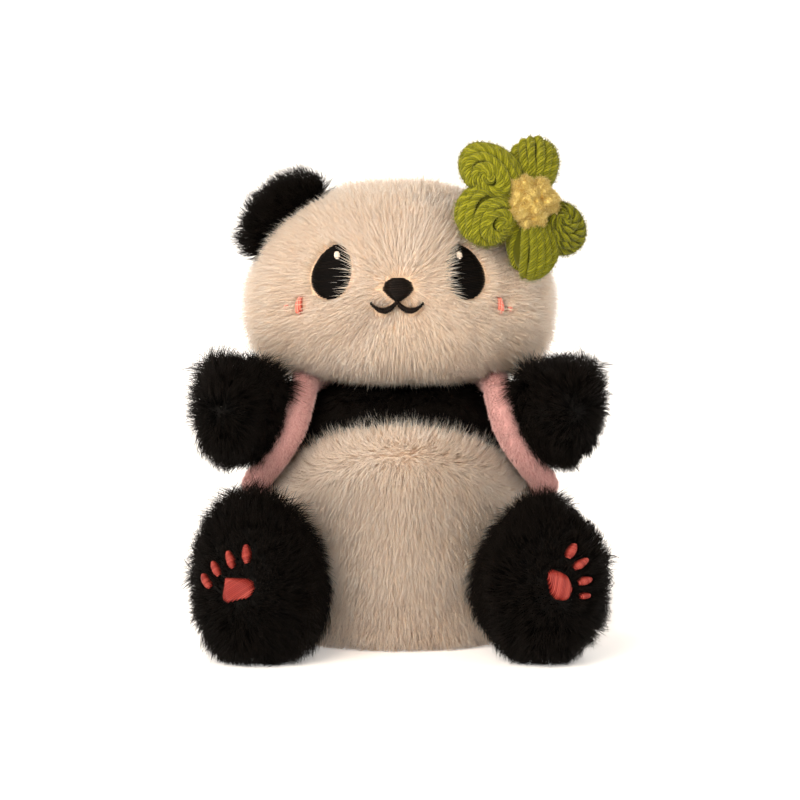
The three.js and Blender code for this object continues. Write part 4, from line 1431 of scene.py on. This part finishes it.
def build_centre():
    """The yellow middle: a crumpled tuft of soft wool, with painted shade in its creases and painted light on
    its lobes.
    """
    rng = np.random.default_rng(77)
    middle = np.array([-1.5, 0.0, FLOWER["middle_lift"] + 0.8])
    size = FLOWER["middle_radius"] + WOOL_SPREAD
    directions, quads, fans = ellipsoid(np.zeros(3), np.ones(3), 90, 140)
    raised = crumpled(directions)
    x, y, _ = directions.T
    turn = np.arctan2(y, x)
    corners = 1 + (0.07 * np.cos(5 * turn + 0.9) + 0.05 * np.cos(3 * turn - 0.5)) * np.hypot(x, y)
    radius = size * corners * (1 + 0.3 * raised)
    points = middle + directions * radius[:, None] * np.array([1, 1, 0.9])
    surface = Surface(in_flower(points), np.concatenate([quads[:, [0, 1, 2]], quads[:, [0, 2, 3]], fans]))
    # Painted shade and light: the wool is darker in its creases and lighter on its lobes.
    tones_at = np.clip(np.rint(1.7 + raised * 4.2), 0, 3).astype(int)
    tuft = Batch()
    tuft.points, tuft.total = [in_flower(points)], len(points)
    tuft.quads, tuft.quad_tones = [quads], [tones_at[quads[:, 0]]]
    tuft.tris, tuft.tri_tones = [fans], [tones_at[fans[:, 1]]]
    place(tuft.make("wool_centre", YELLOW_YARN), "flower", "yellow_yarn", "flower_centre")
    roots, normals = surface.sample(WOOL_DENSITY * DENSITY, rng)
    front = (normals @ FACES) > -0.3
    roots, normals = roots[front], normals[front]
    height = crumpled(unit((roots - in_flower(middle)) @ FLOWER_AXES.T))
    comb = rng.normal(0, 1, roots.shape)
    size, lifts = np.full(len(roots), WOOL_LENGTH), np.full(len(roots), WOOL_LIFT)
    path, nearest = strand_paths(roots, normals, comb, size, lifts, rng, 1.2, 0.25, 0.3, droop=0.0)
    # Painted shade and light: the fuzz is darker over creases and lighter over lobes.
    shade = np.clip(0.55 + height * 2.4, 0, 1)
    make_pile("fuzz_centre", path, nearest, "flower", "yellow_yarn", YELLOW_YARN, rng, shade, WOOL_RADIUS)


def build_backing():
    """The crocheted round behind the petals: a spiral of thinner yarn over a flat core."""
    rng = np.random.default_rng(91)
    backing = Batch()
    rounds = 5
    angle = np.linspace(0, 2 * math.pi * rounds, 90 * rounds)
    spread = 1.1 + (BACKING_RADIUS - 1.9) * angle / angle[-1]
    height = BACKING_MIDDLE + 0.12 * np.sin(angle * 9)
    spiral = np.stack([spread * np.cos(angle), spread * np.sin(angle), height], 1)
    add_yarn(backing, spiral, UP * 40, rng, 0.66, GREEN_SHADES)
    # The core under the spiral takes the darkest tone, as painted shade between its rounds.
    core, quads, fans = ellipsoid(UP * BACKING_MIDDLE, (BACKING_RADIUS - 0.6, BACKING_RADIUS - 0.6, 0.6))
    backing.add(in_flower(core), quads, fans, tone=0)
    place(backing.make("crocheted_backing", GREEN_YARN), "flower", "green_yarn", "flower_backing")


build_centre()
build_backing()


# ------------------------------------------------------------------ CAD nodes that stay

for node in ("neck_seam_ring", "flower_sewing"):
    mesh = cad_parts[node].data
    mesh.materials.clear()
    mesh.materials.append(GATHER_THREAD)


# ------------------------------------------------------------------ the room

TARGET = np.array([0.0, -20.0, 68.0])  # what the camera and the lights aim at
DISTANCE = 750.0
ELEVATION = math.radians(5)

camera = linked("camera", bpy.data.cameras.new("camera"))
camera.data.sensor_width = 36
camera.data.lens = 125
camera.data.clip_end = 20
back = Vector((0, -math.cos(ELEVATION), math.sin(ELEVATION)))
camera.location = Vector(TARGET * MM) + back * DISTANCE * MM
camera.rotation_mode = "QUATERNION"
camera.rotation_quaternion = (-back).to_track_quat("-Z", "Y")
bpy.context.scene.camera = camera


def build_floor():
    """A pale floor that curves up into a backdrop all round, far behind the toy."""
    profile = [(600, 0), (1400, 0), (1900, 60), (2300, 260), (2500, 700), (2560, 1500)]  # (radius, height)
    columns = 64
    turn = turns(columns)
    rings = [np.stack([radius * np.cos(turn), radius * np.sin(turn), np.full(columns, height)], 1)
             for radius, height in profile]
    points = np.concatenate([[[0, 0, 0]], *rings])
    fans = [[0, 1 + j, 1 + (j + 1) % columns] for j in range(columns)]
    quads = tube_faces(len(profile), columns)[0][:, ::-1] + 1
    paper = plain("pale_paper", (250, 249, 247), 0.9, 0.1)
    set_inputs(paper.node_tree.nodes["Principled BSDF"], Emission_Color=(1, 1, 1, 1), Emission_Strength=0.3)
    make_object("floor", points, [quads, fans], [paper])


def area_light(name, position, size, power, colour):
    """A round soft light at a place in metres, aimed at the toy."""
    light = bpy.data.lights.new(name, "AREA")
    light.shape = "DISK"
    light.size = size
    light.energy = power
    light.color = colour
    made = linked(name, light)
    made.location = position
    aim = Vector(TARGET * MM) - Vector(position)
    made.rotation_mode = "QUATERNION"
    made.rotation_quaternion = aim.to_track_quat("-Z", "Y")


build_floor()
area_light("key", (-0.85, -1.4, 0.95), 1.5, 46, (1.0, 0.9, 0.8))
area_light("fill", (0.6, -1.4, 0.5), 1.4, 2, (1.0, 0.88, 0.76))
area_light("rim", (0.3, 1.3, 1.2), 1.0, 8, (1.0, 0.95, 0.9))
world = bpy.data.worlds.new("studio")
bpy.context.scene.world = world
world.use_nodes = True
set_inputs(world.node_tree.nodes["Background"], Color=(1.0, 0.9, 0.8, 1), Strength=0.55)
bpy.context.scene.view_settings.view_transform = "Standard"
